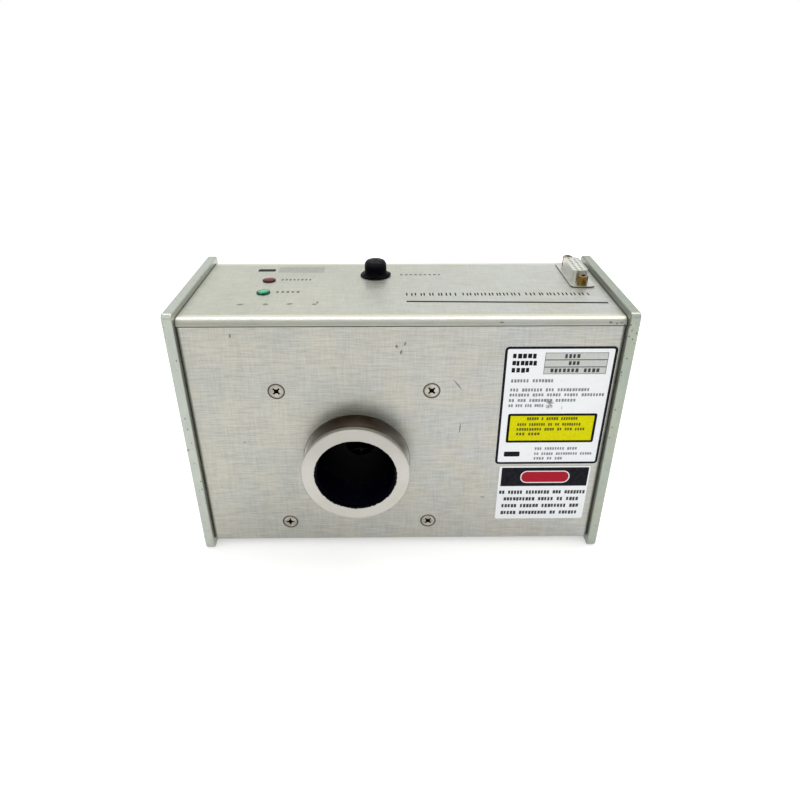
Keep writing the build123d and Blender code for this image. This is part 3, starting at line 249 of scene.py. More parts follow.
def grain_group():
    """Grain, mottling and fine pits of a metal, plastic or paint surface."""
    group, given, result = new_group(
        "surface_grain",
        {
            "Color": (0.5, 0.5, 0.5, 1.0),
            "Mottle Color": (0.5, 0.5, 0.5, 1.0),
            "Grain Lines": (50.0, 1200.0, 1200.0),
            "Cross Lines": (1200.0, 1200.0, 90.0),
            "Cross Share": 0.0,
            "Grain Depth": 0.1,
            "Mottle": 0.5,
            "Mottle Scale": 28.0,
            "Pits": 0.0,
            "Roughness": 0.4,
        },
        {"Color": 4, "Roughness": 1, "Height": 1},
    )
    place = place_node(group, "ShaderNodeTexCoord").outputs["Object"]
    stretched = place_node(
        group,
        "ShaderNodeVectorMath",
        {0: place, 1: given.outputs["Grain Lines"]},
        operation="MULTIPLY",
    )
    crossed = place_node(
        group,
        "ShaderNodeVectorMath",
        {0: place, 1: given.outputs["Cross Lines"]},
        operation="MULTIPLY",
    )
    along = noise_at(group, stretched.outputs[0], 1.0, 4.0, 0.65)
    across = noise_at(group, crossed.outputs[0], 1.0, 2.0, 0.6)
    weave = place_node(
        group,
        "ShaderNodeMix",
        {"Factor": given.outputs["Cross Share"], 2: along, 3: across},
        data_type="FLOAT",
    )
    grain = weave.outputs[0]
    signed = ramped(group, grain, 0.25, 0.75, -1.0, 1.0)
    cloud = ramped(group, noise_at(group, place, given.outputs["Mottle Scale"], 3.0), 0.35, 0.65)
    tint = blended(
        group,
        sums(group, "MULTIPLY", cloud, given.outputs["Mottle"]),
        given.outputs["Color"],
        given.outputs["Mottle Color"],
    )
    shade = sums(group, "MULTIPLY_ADD", signed, given.outputs["Grain Depth"])
    shade.node.inputs[2].default_value = 1.0
    streaked = place_node(
        group,
        "ShaderNodeVectorMath",
        {0: tint, "Scale": shade},
        operation="SCALE",
    )
    pits = ramped(group, noise_at(group, place, 900.0, 0.0), 0.78, 0.86)
    pitted = sums(group, "MULTIPLY", pits, given.outputs["Pits"])
    pit_dark = (0.05, 0.045, 0.035, 1.0)
    group.links.new(
        blended(group, pitted, streaked.outputs[0], pit_dark), result.inputs["Color"]
    )
    rough = sums(group, "MULTIPLY_ADD", signed, 0.06)
    group.links.new(given.outputs["Roughness"], rough.node.inputs[2])
    group.links.new(rough, result.inputs["Roughness"])
    group.links.new(sums(group, "SUBTRACT", grain, pitted), result.inputs["Height"])
    return group


def spot_group():
    """A soft-edged spot or streak: 1 within an ellipsoid, 0 outside it."""
    group, given, result = new_group(
        "spot",
        {
            "Centre": (0.0, 0.0, 0.0),
            "Tilt": (0.0, 0.0, 0.0),
            "Half Size": (0.001, 0.001, 0.001),
            "Softness": 0.3,
        },
        {"Mask": 1},
    )
    place = place_node(group, "ShaderNodeTexCoord").outputs["Object"]
    mapped = place_node(
        group,
        "ShaderNodeMapping",
        {
            "Vector": place,
            "Location": given.outputs["Centre"],
            "Rotation": given.outputs["Tilt"],
            "Scale": given.outputs["Half Size"],
        },
        vector_type="TEXTURE",
    )
    away = place_node(group, "ShaderNodeVectorMath", {0: mapped.outputs[0]}, operation="LENGTH")
    soft = given.outputs["Softness"]
    inside = place_node(
        group,
        "ShaderNodeMapRange",
        {
            "Value": away.outputs["Value"],
            "From Min": sums(group, "SUBTRACT", 1.0, soft),
            "From Max": sums(group, "ADD", 1.0, soft),
            "To Min": 1.0,
            "To Max": 0.0,
        },
        interpolation_type="SMOOTHSTEP",
    )
    group.links.new(inside.outputs[0], result.inputs["Mask"])
    return group


def radius_group():
    """Distance from an axis, which runs through a point along X, Y or Z."""
    group, given, result = new_group(
        "axis_distance",
        {"Point": (0.0, 0.0, 0.0), "Across": (1.0, 0.0, 1.0)},
        {"Radius": 1},
    )
    place = place_node(group, "ShaderNodeTexCoord").outputs["Object"]
    off = place_node(
        group, "ShaderNodeVectorMath", {0: place, 1: given.outputs["Point"]}, operation="SUBTRACT"
    )
    flat = place_node(
        group,
        "ShaderNodeVectorMath",
        {0: off.outputs[0], 1: given.outputs["Across"]},
        operation="MULTIPLY",
    )
    away = place_node(group, "ShaderNodeVectorMath", {0: flat.outputs[0]}, operation="LENGTH")
    group.links.new(away.outputs["Value"], result.inputs["Radius"])
    return group


surface_grain = grain_group()
spot = spot_group()
axis_distance = radius_group()


def new_finish(name, metallic=0.0, **fixed):
    """A material with its shader; keyword names are the shader's own sockets."""
    material = bpy.data.materials.new(name)
    material.use_nodes = True
    tree = material.node_tree
    tree.nodes.clear()
    shader = place_node(tree, "ShaderNodeBsdfPrincipled", {"Metallic": metallic})
    for key, value in fixed.items():
        shader.inputs[key.replace("_", " ").title().replace("Ior", "IOR")].default_value = value
    place_node(tree, "ShaderNodeOutputMaterial", {"Surface": shader.outputs[0]})
    return material, tree, shader


def grain_bump(tree, shader, height, depth):
    """Turns a height between 0 and 1 into relief of that depth, in metres."""
    bump = place_node(
        tree, "ShaderNodeBump", {"Height": height, "Strength": 1.0, "Distance": depth}
    )
    tree.links.new(bump.outputs[0], shader.inputs["Normal"])


def grained(name, color, mottle_color, lines, relief, metallic=0.0, values=None, **fixed):
    """A finish whose colour, roughness and relief all come from its grain."""
    material, tree, shader = new_finish(name, metallic, **fixed)
    grain = use_group(
        tree,
        surface_grain,
        {"Color": color, "Mottle Color": mottle_color, "Grain Lines": lines, **(values or {})},
    )
    tree.links.new(grain.outputs["Color"], shader.inputs["Base Color"])
    tree.links.new(grain.outputs["Roughness"], shader.inputs["Roughness"])
    grain_bump(tree, shader, grain.outputs["Height"], relief)
    return material, tree, shader


def darken(tree, shader, mask, color):
    """Lays a colour over what the shader already has, where the mask says."""
    socket = shader.inputs["Base Color"]
    under = socket.links[0].from_socket
    tree.links.new(blended(tree, mask, under, color), socket)


def wear(material, *names):
    """Gives CAD nodes a finish."""
    for name in names:
        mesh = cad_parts[name].data
        for index in range(max(1, len(mesh.materials))):
            if index < len(mesh.materials):
                mesh.materials[index] = material
            else:
                mesh.materials.append(material)


def spot_mask(tree, centre, half_size, tilt=(0.0, 0.0, 0.0), softness=0.5):
    """The mask of a soft-edged spot, tilted by degrees about X, Y and Z."""
    node = use_group(
        tree,
        spot,
        {
            "Centre": centre,
            "Tilt": tuple(math.radians(turn) for turn in tilt),
            "Half Size": half_size,
            "Softness": softness,
        },
    )
    return node.outputs[0]


def press_rings(tree, shader, centres, across, strength):
    """Painted shade in rings round countersunk heads; across is 0 along the screws and 1 elsewhere.
    """
    for centre in centres:
        away = use_group(tree, axis_distance, {"Point": centre, "Across": across})
        off_ring = sums(tree, "SUBTRACT", away.outputs[0], screw_head_radius)
        off_ring = sums(tree, "ABSOLUTE", off_ring, 0.0)
        ring = ramped(tree, off_ring, screw_ring_width, screw_ring_width * 2, strength, 0.0)
        darken(tree, shader, ring, painted_gap_shade)


panel_color = (0.378, 0.382, 0.347, 1.0)
panel_mottle = (0.42, 0.405, 0.35, 1.0)
panel_lines = (110.0, 1900.0, 1900.0)
panel_relief = 0.000012
painted_gap_shade = (0.028, 0.024, 0.018, 1.0)
panel_brushed, tree, shader = grained(
    "brushed_panel",
    panel_color,
    panel_mottle,
    panel_lines,
    panel_relief,
    metallic=0.9,
    values={
        "Cross Lines": (1900.0, 1900.0, 110.0),
        "Cross Share": 0.30,
        "Grain Depth": 0.23,
        "Mottle": 0.8,
        "Mottle Scale": 45.0,
        "Pits": 0.3,
        "Roughness": 0.42,
    },
)
panel_clear_color = (0.392, 0.397, 0.380, 1.0)
axes = object_place(tree)[1]
# Darker and yellower towards the left, clearer and lighter towards the right.
to_right = ramped(tree, axes[0], -0.06, 0.06)
panel_grain = shader.inputs["Base Color"].links[0].from_node
tree.links.new(
    blended(tree, to_right, panel_color, panel_clear_color), panel_grain.inputs["Color"]
)
port_x = -0.0234
port_z = 0.0585
casing_pitch = (0.0762, 0.0826)
screw_head_radius = 0.0039
screw_ring_width = 0.00026
along_y = (1.0, 0.0, 1.0)
casing_screws = [
    (port_x + side * casing_pitch[0] / 2, 0.0, port_z + level * casing_pitch[1] / 2)
    for side in (-1, 1)
    for level in (-1, 1)
]
# Painted shade in the gap round each screw head.
press_rings(tree, shader, casing_screws, along_y, 0.95)

panel_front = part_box("chassis")[0][1]
mark_depth = 0.002
panel_marks = [
    {"at": (0.0015, 0.1252), "half": (0.0004, 0.0009), "tilt": 20},
    {"at": (-0.0025, 0.1238), "half": (0.0006, 0.0008), "tilt": -30},
    {"at": (-0.0004, 0.1208), "half": (0.0005, 0.0011), "tilt": 15},
    {"at": (0.0274, 0.1030), "half": (0.0003, 0.0030), "tilt": -38},
    {"at": (0.0296, 0.0780), "half": (0.0003, 0.0026), "tilt": 4},
    {"at": (-0.0802, 0.1295), "half": (0.0004, 0.0010), "tilt": 8},
    {"at": (0.0440, 0.0335), "half": (0.0012, 0.0003), "tilt": 12},
    {"at": (-0.0805, 0.0700), "half": (0.0004, 0.0004), "tilt": 0},
]
for mark in panel_marks:
    dent = spot_mask(
        tree,
        (mark["at"][0], panel_front, mark["at"][1]),
        (mark["half"][0], mark_depth, mark["half"][1]),
        tilt=(0.0, mark["tilt"], 0.0),
    )
    faint = sums(tree, "MULTIPLY", dent, 0.9)
    darken(tree, shader, faint, (0.12, 0.11, 0.095, 1.0))
wear(panel_brushed, "chassis", "cover_brackets")

# ---- top cover ----
# A second aluminium sheet, bent down at the front and rear.  It is finer brushed than
# the panel, and its colour runs darker and yellower towards the left; grit has left small
# dark pits along its lip.  Its bends carry a painted highlight, and the lip below them
# and its ends along the plates are painted darker, as shade.
cover_color = (0.405, 0.415, 0.355, 1.0)
cover_clear_color = (0.47, 0.485, 0.46, 1.0)
cover_mottle = (0.44, 0.44, 0.38, 1.0)
cover_satin, tree, shader = grained(
    "satin_cover",
    cover_color,
    cover_mottle,
    (120.0, 1900.0, 1900.0),
    0.000008,
    metallic=0.85,
    values={
        "Cross Lines": (1900.0, 110.0, 1900.0),
        "Cross Share": 0.30,
        "Grain Depth": 0.16,
        "Mottle": 0.8,
        "Mottle Scale": 30.0,
        "Pits": 0.2,
        "Roughness": 0.43,
    },
)
axes = object_place(tree)[1]
# Darker and yellower towards the left, clearer and lighter towards the right.
to_right = ramped(tree, axes[0], -0.07, 0.09)
cover_grain = shader.inputs["Base Color"].links[0].from_node
tree.links.new(
    blended(tree, to_right, cover_color, cover_clear_color), cover_grain.inputs["Color"]
)
cover_low, cover_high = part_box("top_cover")
cover_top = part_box("dsub_shell")[0][2]
# Painted highlight: the bends are painted lighter where the softbox shines on them.
bend_start, bend_full = cover_high[1] - 0.0063, cover_high[1] - 0.0042
out_to_edge = sums(tree, "ABSOLUTE", axes[1], 0.0)
on_bend = ramped(tree, out_to_edge, bend_start, bend_full)
above_lip = ramped(tree, axes[2], cover_top - 0.0009, cover_top - 0.0003)
sheen_and_scuff = sums(tree, "MULTIPLY", sums(tree, "MULTIPLY", on_bend, above_lip), 0.85)
darken(tree, shader, sheen_and_scuff, (0.64, 0.63, 0.52, 1.0))
# Painted shade on the lip below the bend.
below_bend = ramped(tree, axes[2], cover_top - 0.0012, cover_top - 0.0007, 0.38, 0.0)
darken(tree, shader, below_bend, (0.16, 0.16, 0.135, 1.0))
# Painted shade in the gaps where the cover's ends meet the plates.
out_to_end = sums(tree, "ABSOLUTE", axes[0], 0.0)
end_gap_shade = ramped(tree, out_to_end, cover_high[0] - 0.0007, cover_high[0] - 0.0003, 0.0, 0.85)
darken(tree, shader, end_gap_shade, painted_gap_shade)
cover_marks = [
    {"at": (-0.0783, -0.0235, cover_top), "half": (0.0017, 0.0008, 0.002), "tilt": 20},
    {"at": (-0.0661, -0.0233, cover_top), "half": (0.0014, 0.0010, 0.002), "tilt": -15},
    {"at": (-0.0544, -0.0230, cover_top), "half": (0.0015, 0.0009, 0.002), "tilt": 15},
    {"at": (-0.0423, -0.0234, cover_top), "half": (0.0011, 0.0009, 0.002), "tilt": 0},
    {"at": (-0.0411, -0.0211, cover_top), "half": (0.0005, 0.0014, 0.002), "tilt": 10},
    {"at": (0.0970, cover_low[1], 0.1356), "half": (0.0007, 0.002, 0.0005), "tilt": 0},
    {"at": (0.0999, cover_low[1], 0.1351), "half": (0.0005, 0.002, 0.0004), "tilt": 0},
    {"at": (0.1022, cover_low[1], 0.1354), "half": (0.0008, 0.002, 0.0003), "tilt": 0},
    {"at": (0.1037, cover_low[1], 0.1346), "half": (0.0004, 0.002, 0.0004), "tilt": 0},
    {"at": (0.0463, cover_low[1], 0.1358), "half": (0.0010, 0.002, 0.0003), "tilt": 0},
]
for mark in cover_marks:
    nick = spot_mask(tree, mark["at"], mark["half"], tilt=(0.0, 0.0, mark["tilt"]))
    faint = sums(tree, "MULTIPLY", nick, 0.85)
    darken(tree, shader, faint, (0.10, 0.09, 0.07, 1.0))
wear(cover_satin, "top_cover")

# ---- end plates ----
# Two 5 mm plates with rounded edges, satin anodised.  They stand proud all round and so
# take the knocks, which have left dark nicks and pits along the front edges.
plate_nicks = {
    "end_plate_left": [(-0.1062, 0.1180), (-0.1075, 0.0860), (-0.1058, 0.0420)],
    "end_plate_right": [
        (0.1065, 0.1326),
        (0.1057, 0.1298),
        (0.1091, 0.1313),
        (0.1075, 0.1283),
        (0.1056, 0.1355),
        (0.1068, 0.1182),
        (0.1056, 0.1109),
        (0.1060, 0.0899),
        (0.1062, 0.0796),
        (0.1058, 0.0735),
    ],
}
# The right plate has a darker copy of the left plate's colour: painted shade on that side.
plates = {
    "end_plate_left": ((0.39, 0.42, 0.38, 1.0), (0.41, 0.43, 0.37, 1.0)),
    "end_plate_right": ((0.31, 0.345, 0.30, 1.0), (0.33, 0.35, 0.29, 1.0)),
}
plate_nick_half = (0.0003, mark_depth, 0.0004)
along_x = (0.0, 1.0, 1.0)
plate_screws = [
    (0.0, side * across, z)
    for side in (-1, 1)
    for across, z in ((0.0353, 0.025), (0.0353, 0.112), (0.0200, 0.1303))
]
for plate, (plate_color, plate_mottle) in plates.items():
    plate_satin, tree, shader = grained(
        f"satin_{plate}",
        plate_color,
        plate_mottle,
        (500.0, 500.0, 120.0),
        0.00001,
        metallic=0.85,
        values={
            "Grain Depth": 0.08,
            "Mottle": 0.8,
            "Mottle Scale": 60.0,
            "Pits": 0.8,
            "Roughness": 0.38,
        },
    )
    # Painted shade in the gap round each screw head.
    press_rings(tree, shader, plate_screws, along_x, 0.75)
    plate_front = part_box(plate)[0][1]
    for along, height in plate_nicks[plate]:
        nick = spot_mask(tree, (along, plate_front, height), plate_nick_half, softness=0.3)
        darken(tree, shader, nick, (0.06, 0.055, 0.045, 1.0))
    if plate == "end_plate_right":
        # Painted shade on the right plate's inner face, above the cover.
        axes = object_place(tree)[1]
        inner_face = cover_high[0] + 0.0003
        inner_face_shade = ramped(tree, axes[0], inner_face, inner_face + 0.0003, 0.45, 0.0)
        above_sheet = ramped(tree, axes[2], cover_top - 0.0040, cover_top - 0.0030)
        inner_face_shade = sums(tree, "MULTIPLY", inner_face_shade, above_sheet)
        darken(tree, shader, inner_face_shade, (0.10, 0.115, 0.095, 1.0))
    wear(plate_satin, plate)


# ---- countersunk screws ----
# Cross-head steel screws, nickel plated.  The plating is bright on the heads; the
# driver's cross is painted dark, as shade in the recess, and so is a ring at each head's rim.
def screw_finish(name, across, surface, centres):
    """Nickel with painted shade below the heads' surface and at their rims; across is 0 along the
    screws and 1 elsewhere.
    """
    material, tree, shader = grained(
        name,
        (0.42, 0.40, 0.355, 1.0),
        (0.25, 0.225, 0.18, 1.0),
        (500.0, 500.0, 500.0),
        0.00001,
        metallic=1.0,
        values={"Grain Depth": 0.06, "Mottle": 0.8, "Mottle Scale": 300.0, "Roughness": 0.33},
    )
    level = sums(tree, "ABSOLUTE", object_place(tree)[1][across.index(0.0)], 0.0)
    # Painted shade: dark in the cross, below the heads' surface.
    deep = ramped(tree, level, surface - 0.0006, surface - 0.0001, 1.0, 0.0)
    darken(tree, shader, deep, (0.004, 0.003, 0.002, 1.0))
    for centre in centres:
        away = use_group(tree, axis_distance, {"Point": centre, "Across": across})
        # Painted shade in the middle of the cross.
        cross_centre_shade = ramped(tree, away.outputs[0], 0.0010, 0.0014, 1.0, 0.0)
        darken(tree, shader, cross_centre_shade, (0.006, 0.005, 0.004, 1.0))
        # Painted shade round the head's rim.
        rim_shade = ramped(tree, away.outputs[0], 0.0031, 0.0037, 0.0, 0.75)
        close = ramped(tree, away.outputs[0], 0.0045, 0.0046, 1.0, 0.0)
        darken(tree, shader, sums(tree, "MULTIPLY", rim_shade, close), (0.10, 0.085, 0.06, 1.0))
    return material


casing_nickel = screw_finish("nickel_front_rear", along_y, abs(panel_front), casing_screws)
wear(casing_nickel, "front_casing_screws", "rear_casing_screws")
plate_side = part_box("end_plate_right")[1][0]
wear(screw_finish("nickel_sides", along_x, plate_side, plate_screws), "end_plate_screws")

# ---- clamp flanges ----
# Turned stainless steel: a bright flat face and rim, and a neck behind it whose top is
# painted dark brown, as shade under the rim.  The top of the face is painted a little
# darker, as shade.  The bore is sprayed black, with a ragged edge at the mouth.
flange_steel, tree, shader = grained(
    "turned_steel",
    (0.45, 0.44, 0.405, 1.0),
    (0.43, 0.415, 0.37, 1.0),
    (260.0, 260.0, 260.0),
    0.000006,
    metallic=1.0,
    values={"Grain Depth": 0.04, "Mottle": 0.8, "Mottle Scale": 70.0, "Roughness": 0.34},
    specular_ior_level=0.1,
)
port_radius = use_group(
    tree, axis_distance, {"Point": (port_x, 0.0, port_z), "Across": along_y}
).outputs[0]
place, axes = object_place(tree)
reach = sums(tree, "ABSOLUTE", axes[1], 0.0)
flange_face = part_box("rear_flange")[1][1]
rim_thickness = 0.003
rim_back = flange_face - rim_thickness
# Painted shade: the top of the flange is painted darker.
face_top_shade = ramped(tree, axes[2], port_z, port_z + 0.020, 0.0, 0.45)
darken(tree, shader, face_top_shade, (0.28, 0.27, 0.245, 1.0))
# Painted shade: the top of the neck behind the rim is painted dark brown, streaked along the
# turning.
behind_rim = ramped(tree, reach, rim_back - 0.0008, rim_back, 1.0, 0.0)
shade_edge_noise = noise_at(tree, place, 120.0, 3.0)
on_top = ramped(tree, axes[2], port_z + 0.013, port_z + 0.021)
neck_top_shade = sums(tree, "MULTIPLY", behind_rim, ramped(tree, shade_edge_noise, 0.2, 0.6, 0.75, 0.95))
neck_top_shade = sums(tree, "MULTIPLY", neck_top_shade, on_top)
rings = place_node(
    tree, "ShaderNodeVectorMath", {0: place, 1: (40.0, 1500.0, 40.0)}, operation="MULTIPLY"
)
ring_streaks = ramped(tree, noise_at(tree, rings.outputs[0], 1.0, 3.0), 0.40, 0.60, 0.62, 1.0)
neck_top_shade = sums(tree, "MULTIPLY", neck_top_shade, ring_streaks)
darken(tree, shader, neck_top_shade, (0.14, 0.105, 0.075, 1.0))
mouth_radius = 0.0210
ragged_by = 0.00018
ragged = ramped(tree, noise_at(tree, place, 900.0), 0.3, 0.7, -ragged_by, ragged_by)
inside = sums(tree, "ADD", port_radius, ragged)
bore_black = ramped(tree, inside, mouth_radius - 0.00010, mouth_radius + 0.00002, 1.0, 0.0)
darken(tree, shader, bore_black, (0.0016, 0.0018, 0.0055, 1.0))
steel_rough = shader.inputs["Roughness"].links[0].from_socket
painted_rough = sums(tree, "MULTIPLY_ADD", bore_black, -0.12)
tree.links.new(steel_rough, painted_rough.node.inputs[2])
tree.links.new(painted_rough, shader.inputs["Roughness"])
steel_metal = sums(tree, "SUBTRACT", 1.0, bore_black)
tree.links.new(steel_metal, shader.inputs["Metallic"])
wear(flange_steel, "front_flange", "rear_flange")

# ---- sensor block and optics housings ----
# Milled aluminium, black anodised against stray light.  Its bore carries the gas from
# port to port; the laser, detector and mirror housings bolt to its sides.
black_anodised = grained(
    "black_anodised",
    (0.0005, 0.0005, 0.0018, 1.0),
    (0.0009, 0.0008, 0.0022, 1.0),
    (300.0, 900.0, 300.0),
    0.00001,
    metallic=0.15,
    values={"Grain Depth": 0.1, "Mottle": 0.8, "Roughness": 0.55},
    specular_ior_level=0.015,
)[0]
wear(
    black_anodised,
    "sensor_block",
    "laser_housing",
    "beam_stop",
    "detector_housing",
    "mirror_cover",
    "lens_rings",
    "power_converter",
)
bronze_anodised = grained(
    "bronze_anodised",
    (0.055, 0.040, 0.026, 1.0),
    (0.075, 0.058, 0.038, 1.0),
    (40.0, 900.0, 900.0),
    0.00001,
    metallic=0.6,
    values={"Grain Depth": 0.1, "Mottle": 0.8, "Roughness": 0.40},
)[0]
wear(bronze_anodised, "front_port_plate", "rear_port_plate")

# ---- seals, lenses and mirror ----
# Squeezed rubber rings keep the vacuum, a glass window and two lenses pass the light,
# and a hollow mirror below the bore throws back what scatters downwards.
seal_rubber = grained(
    "seal_rubber",
    (0.018, 0.018, 0.019, 1.0),
    (0.030, 0.029, 0.028, 1.0),
    (400.0, 400.0, 400.0),
    0.00001,
    values={"Grain Depth": 0.15, "Mottle": 0.8, "Roughness": 0.55},
)[0]
wear(seal_rubber, "front_port_seal", "rear_port_seal", "small_seals", "large_seals")
lens_glass = grained(
    "lens_glass",
    (0.90, 0.94, 0.96, 1.0),
    (0.86, 0.93, 0.95, 1.0),
    (60.0, 60.0, 60.0),
    0.0,
    values={"Grain Depth": 0.01, "Mottle": 0.5, "Roughness": 0.06},
    transmission_weight=1.0,
    ior=1.52,
)[0]
wear(lens_glass, "laser_window", "collimating_lens", "collecting_lens")
mirror_silver = grained(
    "mirror_silver",
    (0.86, 0.87, 0.86, 1.0),
    (0.80, 0.81, 0.80, 1.0),
    (80.0, 80.0, 80.0),
    0.0,
    metallic=1.0,
    values={"Grain Depth": 0.02, "Mottle": 0.4, "Roughness": 0.10},
)[0]
wear(mirror_silver, "collecting_mirror")

# ---- inside fasteners, cans, pins and boards ----
# Zinc-plated steel screws, nuts and standoffs; gold-flashed cans and contacts; green
# boards with black moulded parts on them, and a grey ribbed ribbon lead.
zinc_steel = grained(
    "zinc_steel",
    (0.52, 0.52, 0.50, 1.0),
    (0.58, 0.55, 0.44, 1.0),
    (500.0, 500.0, 500.0),
    0.00001,
    metallic=1.0,
    values={"Grain Depth": 0.08, "Mottle": 0.6, "Mottle Scale": 200.0, "Roughness": 0.36},
)[0]
wear(
    zinc_steel,
    "clinch_nuts",
    "port_plate_screws",
    "optics_screws",
    "board_screws",
    "board_standoffs",
    "jack_nuts",
    "lens_clips",
    "preamp_studs",
    "socket_shell",
    "socket_nut",
)
gold_flash = grained(
    "gold_flash",
    (0.75, 0.55, 0.22, 1.0),
    (0.62, 0.45, 0.20, 1.0),
    (600.0, 600.0, 600.0),
    0.000005,
    metallic=1.0,
    values={"Grain Depth": 0.06, "Mottle": 0.6, "Mottle Scale": 250.0, "Roughness": 0.28},
)[0]
wear(gold_flash, "laser_diode", "photodiode", "dsub_contacts", "socket_pins")
board_green = grained(
    "board_green",
    (0.012, 0.085, 0.030, 1.0),
    (0.020, 0.120, 0.045, 1.0),
    (700.0, 150.0, 150.0),
    0.00002,
    values={"Grain Depth": 0.25, "Mottle": 0.8, "Mottle Scale": 220.0, "Roughness": 0.35},
)[0]
wear(board_green, "main_board", "preamp_board")
black_moulding = grained(
    "black_moulding",
    (0.014, 0.014, 0.015, 1.0),
    (0.024, 0.023, 0.023, 1.0),
    (900.0, 900.0, 900.0),
    0.00001,
    values={"Grain Depth": 0.2, "Mottle": 0.6, "Mottle Scale": 150.0, "Roughness": 0.48},
)[0]
wear(black_moulding, "logic_chips", "preamp_chips", "capacitors", "board_header", "socket_insert")
ribbon_grey = grained(
    "ribbon_grey",
    (0.20, 0.21, 0.22, 1.0),
    (0.25, 0.25, 0.26, 1.0),
    (1.0, 1600.0, 1.0),
    0.0001,
    values={"Grain Depth": 0.25, "Mottle": 0.4, "Roughness": 0.5},
)[0]
wear(ribbon_grey, "ribbon_lead")


# ---- indicators ----
# Two snap-in lenses of clear-coloured plastic, each over a lamp.  The red one is deep
# and dull, the green one glassy; both carry a painted glow in the middle and painted shade round
# the rim.
def lens_finish(name, lens, deep, pale, rim_share):
    """Coloured plastic with a painted glow in the middle of its crown and painted shade round its
    rim.
    """
    material, tree, shader = grained(
        name,
        deep,
        pale,
        (500.0, 500.0, 500.0),
        0.00001,
        values={"Grain Depth": 0.12, "Mottle": 0.55, "Mottle Scale": 420.0, "Roughness": 0.16},
        coat_weight=0.02,
        coat_roughness=0.15,
        specular_ior_level=0.06,
    )
    low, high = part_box(lens)
    middle = ((low[0] + high[0]) / 2, (low[1] + high[1]) / 2, high[2])
    away = use_group(tree, axis_distance, {"Point": middle, "Across": (1.0, 1.0, 0.0)})
    radius = (high[0] - low[0]) / 2
    # Painted glow in the middle of the crown.
    glow = ramped(tree, away.outputs[0], radius * 0.25, radius * 0.70, rim_share, 0.0)
    darken(tree, shader, glow, pale)
    # Painted shade round the rim.
    rim_shade = ramped(tree, away.outputs[0], radius * 0.74, radius * 0.92, 0.0, 0.85)
    darken(tree, shader, rim_shade, tuple(part * 0.25 for part in deep[:3]) + (1.0,))
    return material


red_plastic = lens_finish(
    "red_plastic", "red_lens", (0.095, 0.012, 0.016, 1.0), (0.17, 0.05, 0.05, 1.0), 0.5
)
wear(red_plastic, "red_lens", "red_lamp")
green_plastic = lens_finish(
    "green_plastic", "green_lens", (0.006, 0.125, 0.062, 1.0), (0.13, 0.50, 0.33, 1.0), 0.6
)
wear(green_plastic, "green_lens", "green_lamp")

# ---- D connector ----
# A drawn, tin-plated steel shell round a pale moulded body with fifteen contacts, held
# to the cover by two hexagonal brass posts.  The foot of its flange is painted dark, as shade.
tin_plate, tree, shader = grained(
    "tin_plate",
    (0.58, 0.59, 0.55, 1.0),
    (0.50, 0.50, 0.46, 1.0),
    (300.0, 300.0, 300.0),
    0.00001,
    metallic=0.9,
    values={"Grain Depth": 0.06, "Mottle": 0.7, "Mottle Scale": 180.0, "Roughness": 0.34},
)
axes = object_place(tree)[1]
shell_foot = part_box("dsub_shell")[0][2]
# Painted shade along the foot of the flange.
flange_foot_shade = ramped(tree, axes[2], shell_foot + 0.0005, shell_foot + 0.0007, 0.9, 0.0)
darken(tree, shader, flange_foot_shade, (0.022, 0.020, 0.016, 1.0))
wear(tin_plate, "dsub_shell")
pale_moulding = grained(
    "pale_moulding",
    (0.52, 0.54, 0.49, 1.0),
    (0.46, 0.47, 0.42, 1.0),
    (500.0, 500.0, 500.0),
    0.00001,
    values={"Grain Depth": 0.05, "Mottle": 0.6, "Mottle Scale": 200.0, "Roughness": 0.42},
)[0]
wear(pale_moulding, "dsub_body")
post_brass = grained(
    "post_brass",
    (0.26, 0.17, 0.045, 1.0),
    (0.07, 0.045, 0.010, 1.0),
    (700.0, 700.0, 200.0),
    0.00001,
    metallic=1.0,
    values={"Grain Depth": 0.12, "Mottle": 0.85, "Mottle Scale": 320.0, "Roughness": 0.24},
)[0]
wear(post_brass, "jack_posts")

# ---- labels ----
# Two self-adhesive foils on the front panel, white and slightly glossy.  The upper one
# has been scuffed, and both are printed with plain fields, bars and rules.
label_white, tree, shader = grained(
    "label_white",
    (0.87, 0.89, 0.90, 1.0),
    (0.83, 0.85, 0.86, 1.0),
    (300.0, 300.0, 300.0),
    0.000004,
    values={"Grain Depth": 0.015, "Mottle": 0.5, "Mottle Scale": 60.0, "Roughness": 0.32},
)
label_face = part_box("data_label")[0][1]
scuffs = [
    {"at": (0.0732, 0.0934), "half": (0.0024, 0.0011), "tilt": 20},
    {"at": (0.0741, 0.0918), "half": (0.0009, 0.0022), "tilt": -15},
    {"at": (0.0727, 0.0905), "half": (0.0012, 0.0008), "tilt": 35},
    {"at": (0.0800, 0.0898), "half": (0.0002, 0.0009), "tilt": 0},
]
sheen_and_scuff = noise_at(tree, object_place(tree)[0], 1500.0, 3.0)
for scuff in scuffs:
    patch = spot_mask(
        tree,
        (scuff["at"][0], label_face, scuff["at"][1]),
        (scuff["half"][0], mark_depth, scuff["half"][1]),
        tilt=(0.0, scuff["tilt"], 0.0),
        softness=0.45,
    )
    torn = sums(tree, "MULTIPLY", patch, ramped(tree, sheen_and_scuff, 0.35, 0.6))
    darken(tree, shader, torn, (0.16, 0.15, 0.13, 1.0))
wear(label_white, "data_label", "lower_label")


# ---- print on the labels ----
# Screen-printed ink, a few hundredths of a millimetre thick.  Lines of small blocks stand
# where a maker would print words, and nothing on the foils can be read.
ink_thickness = 0.00003
corner_steps = 5


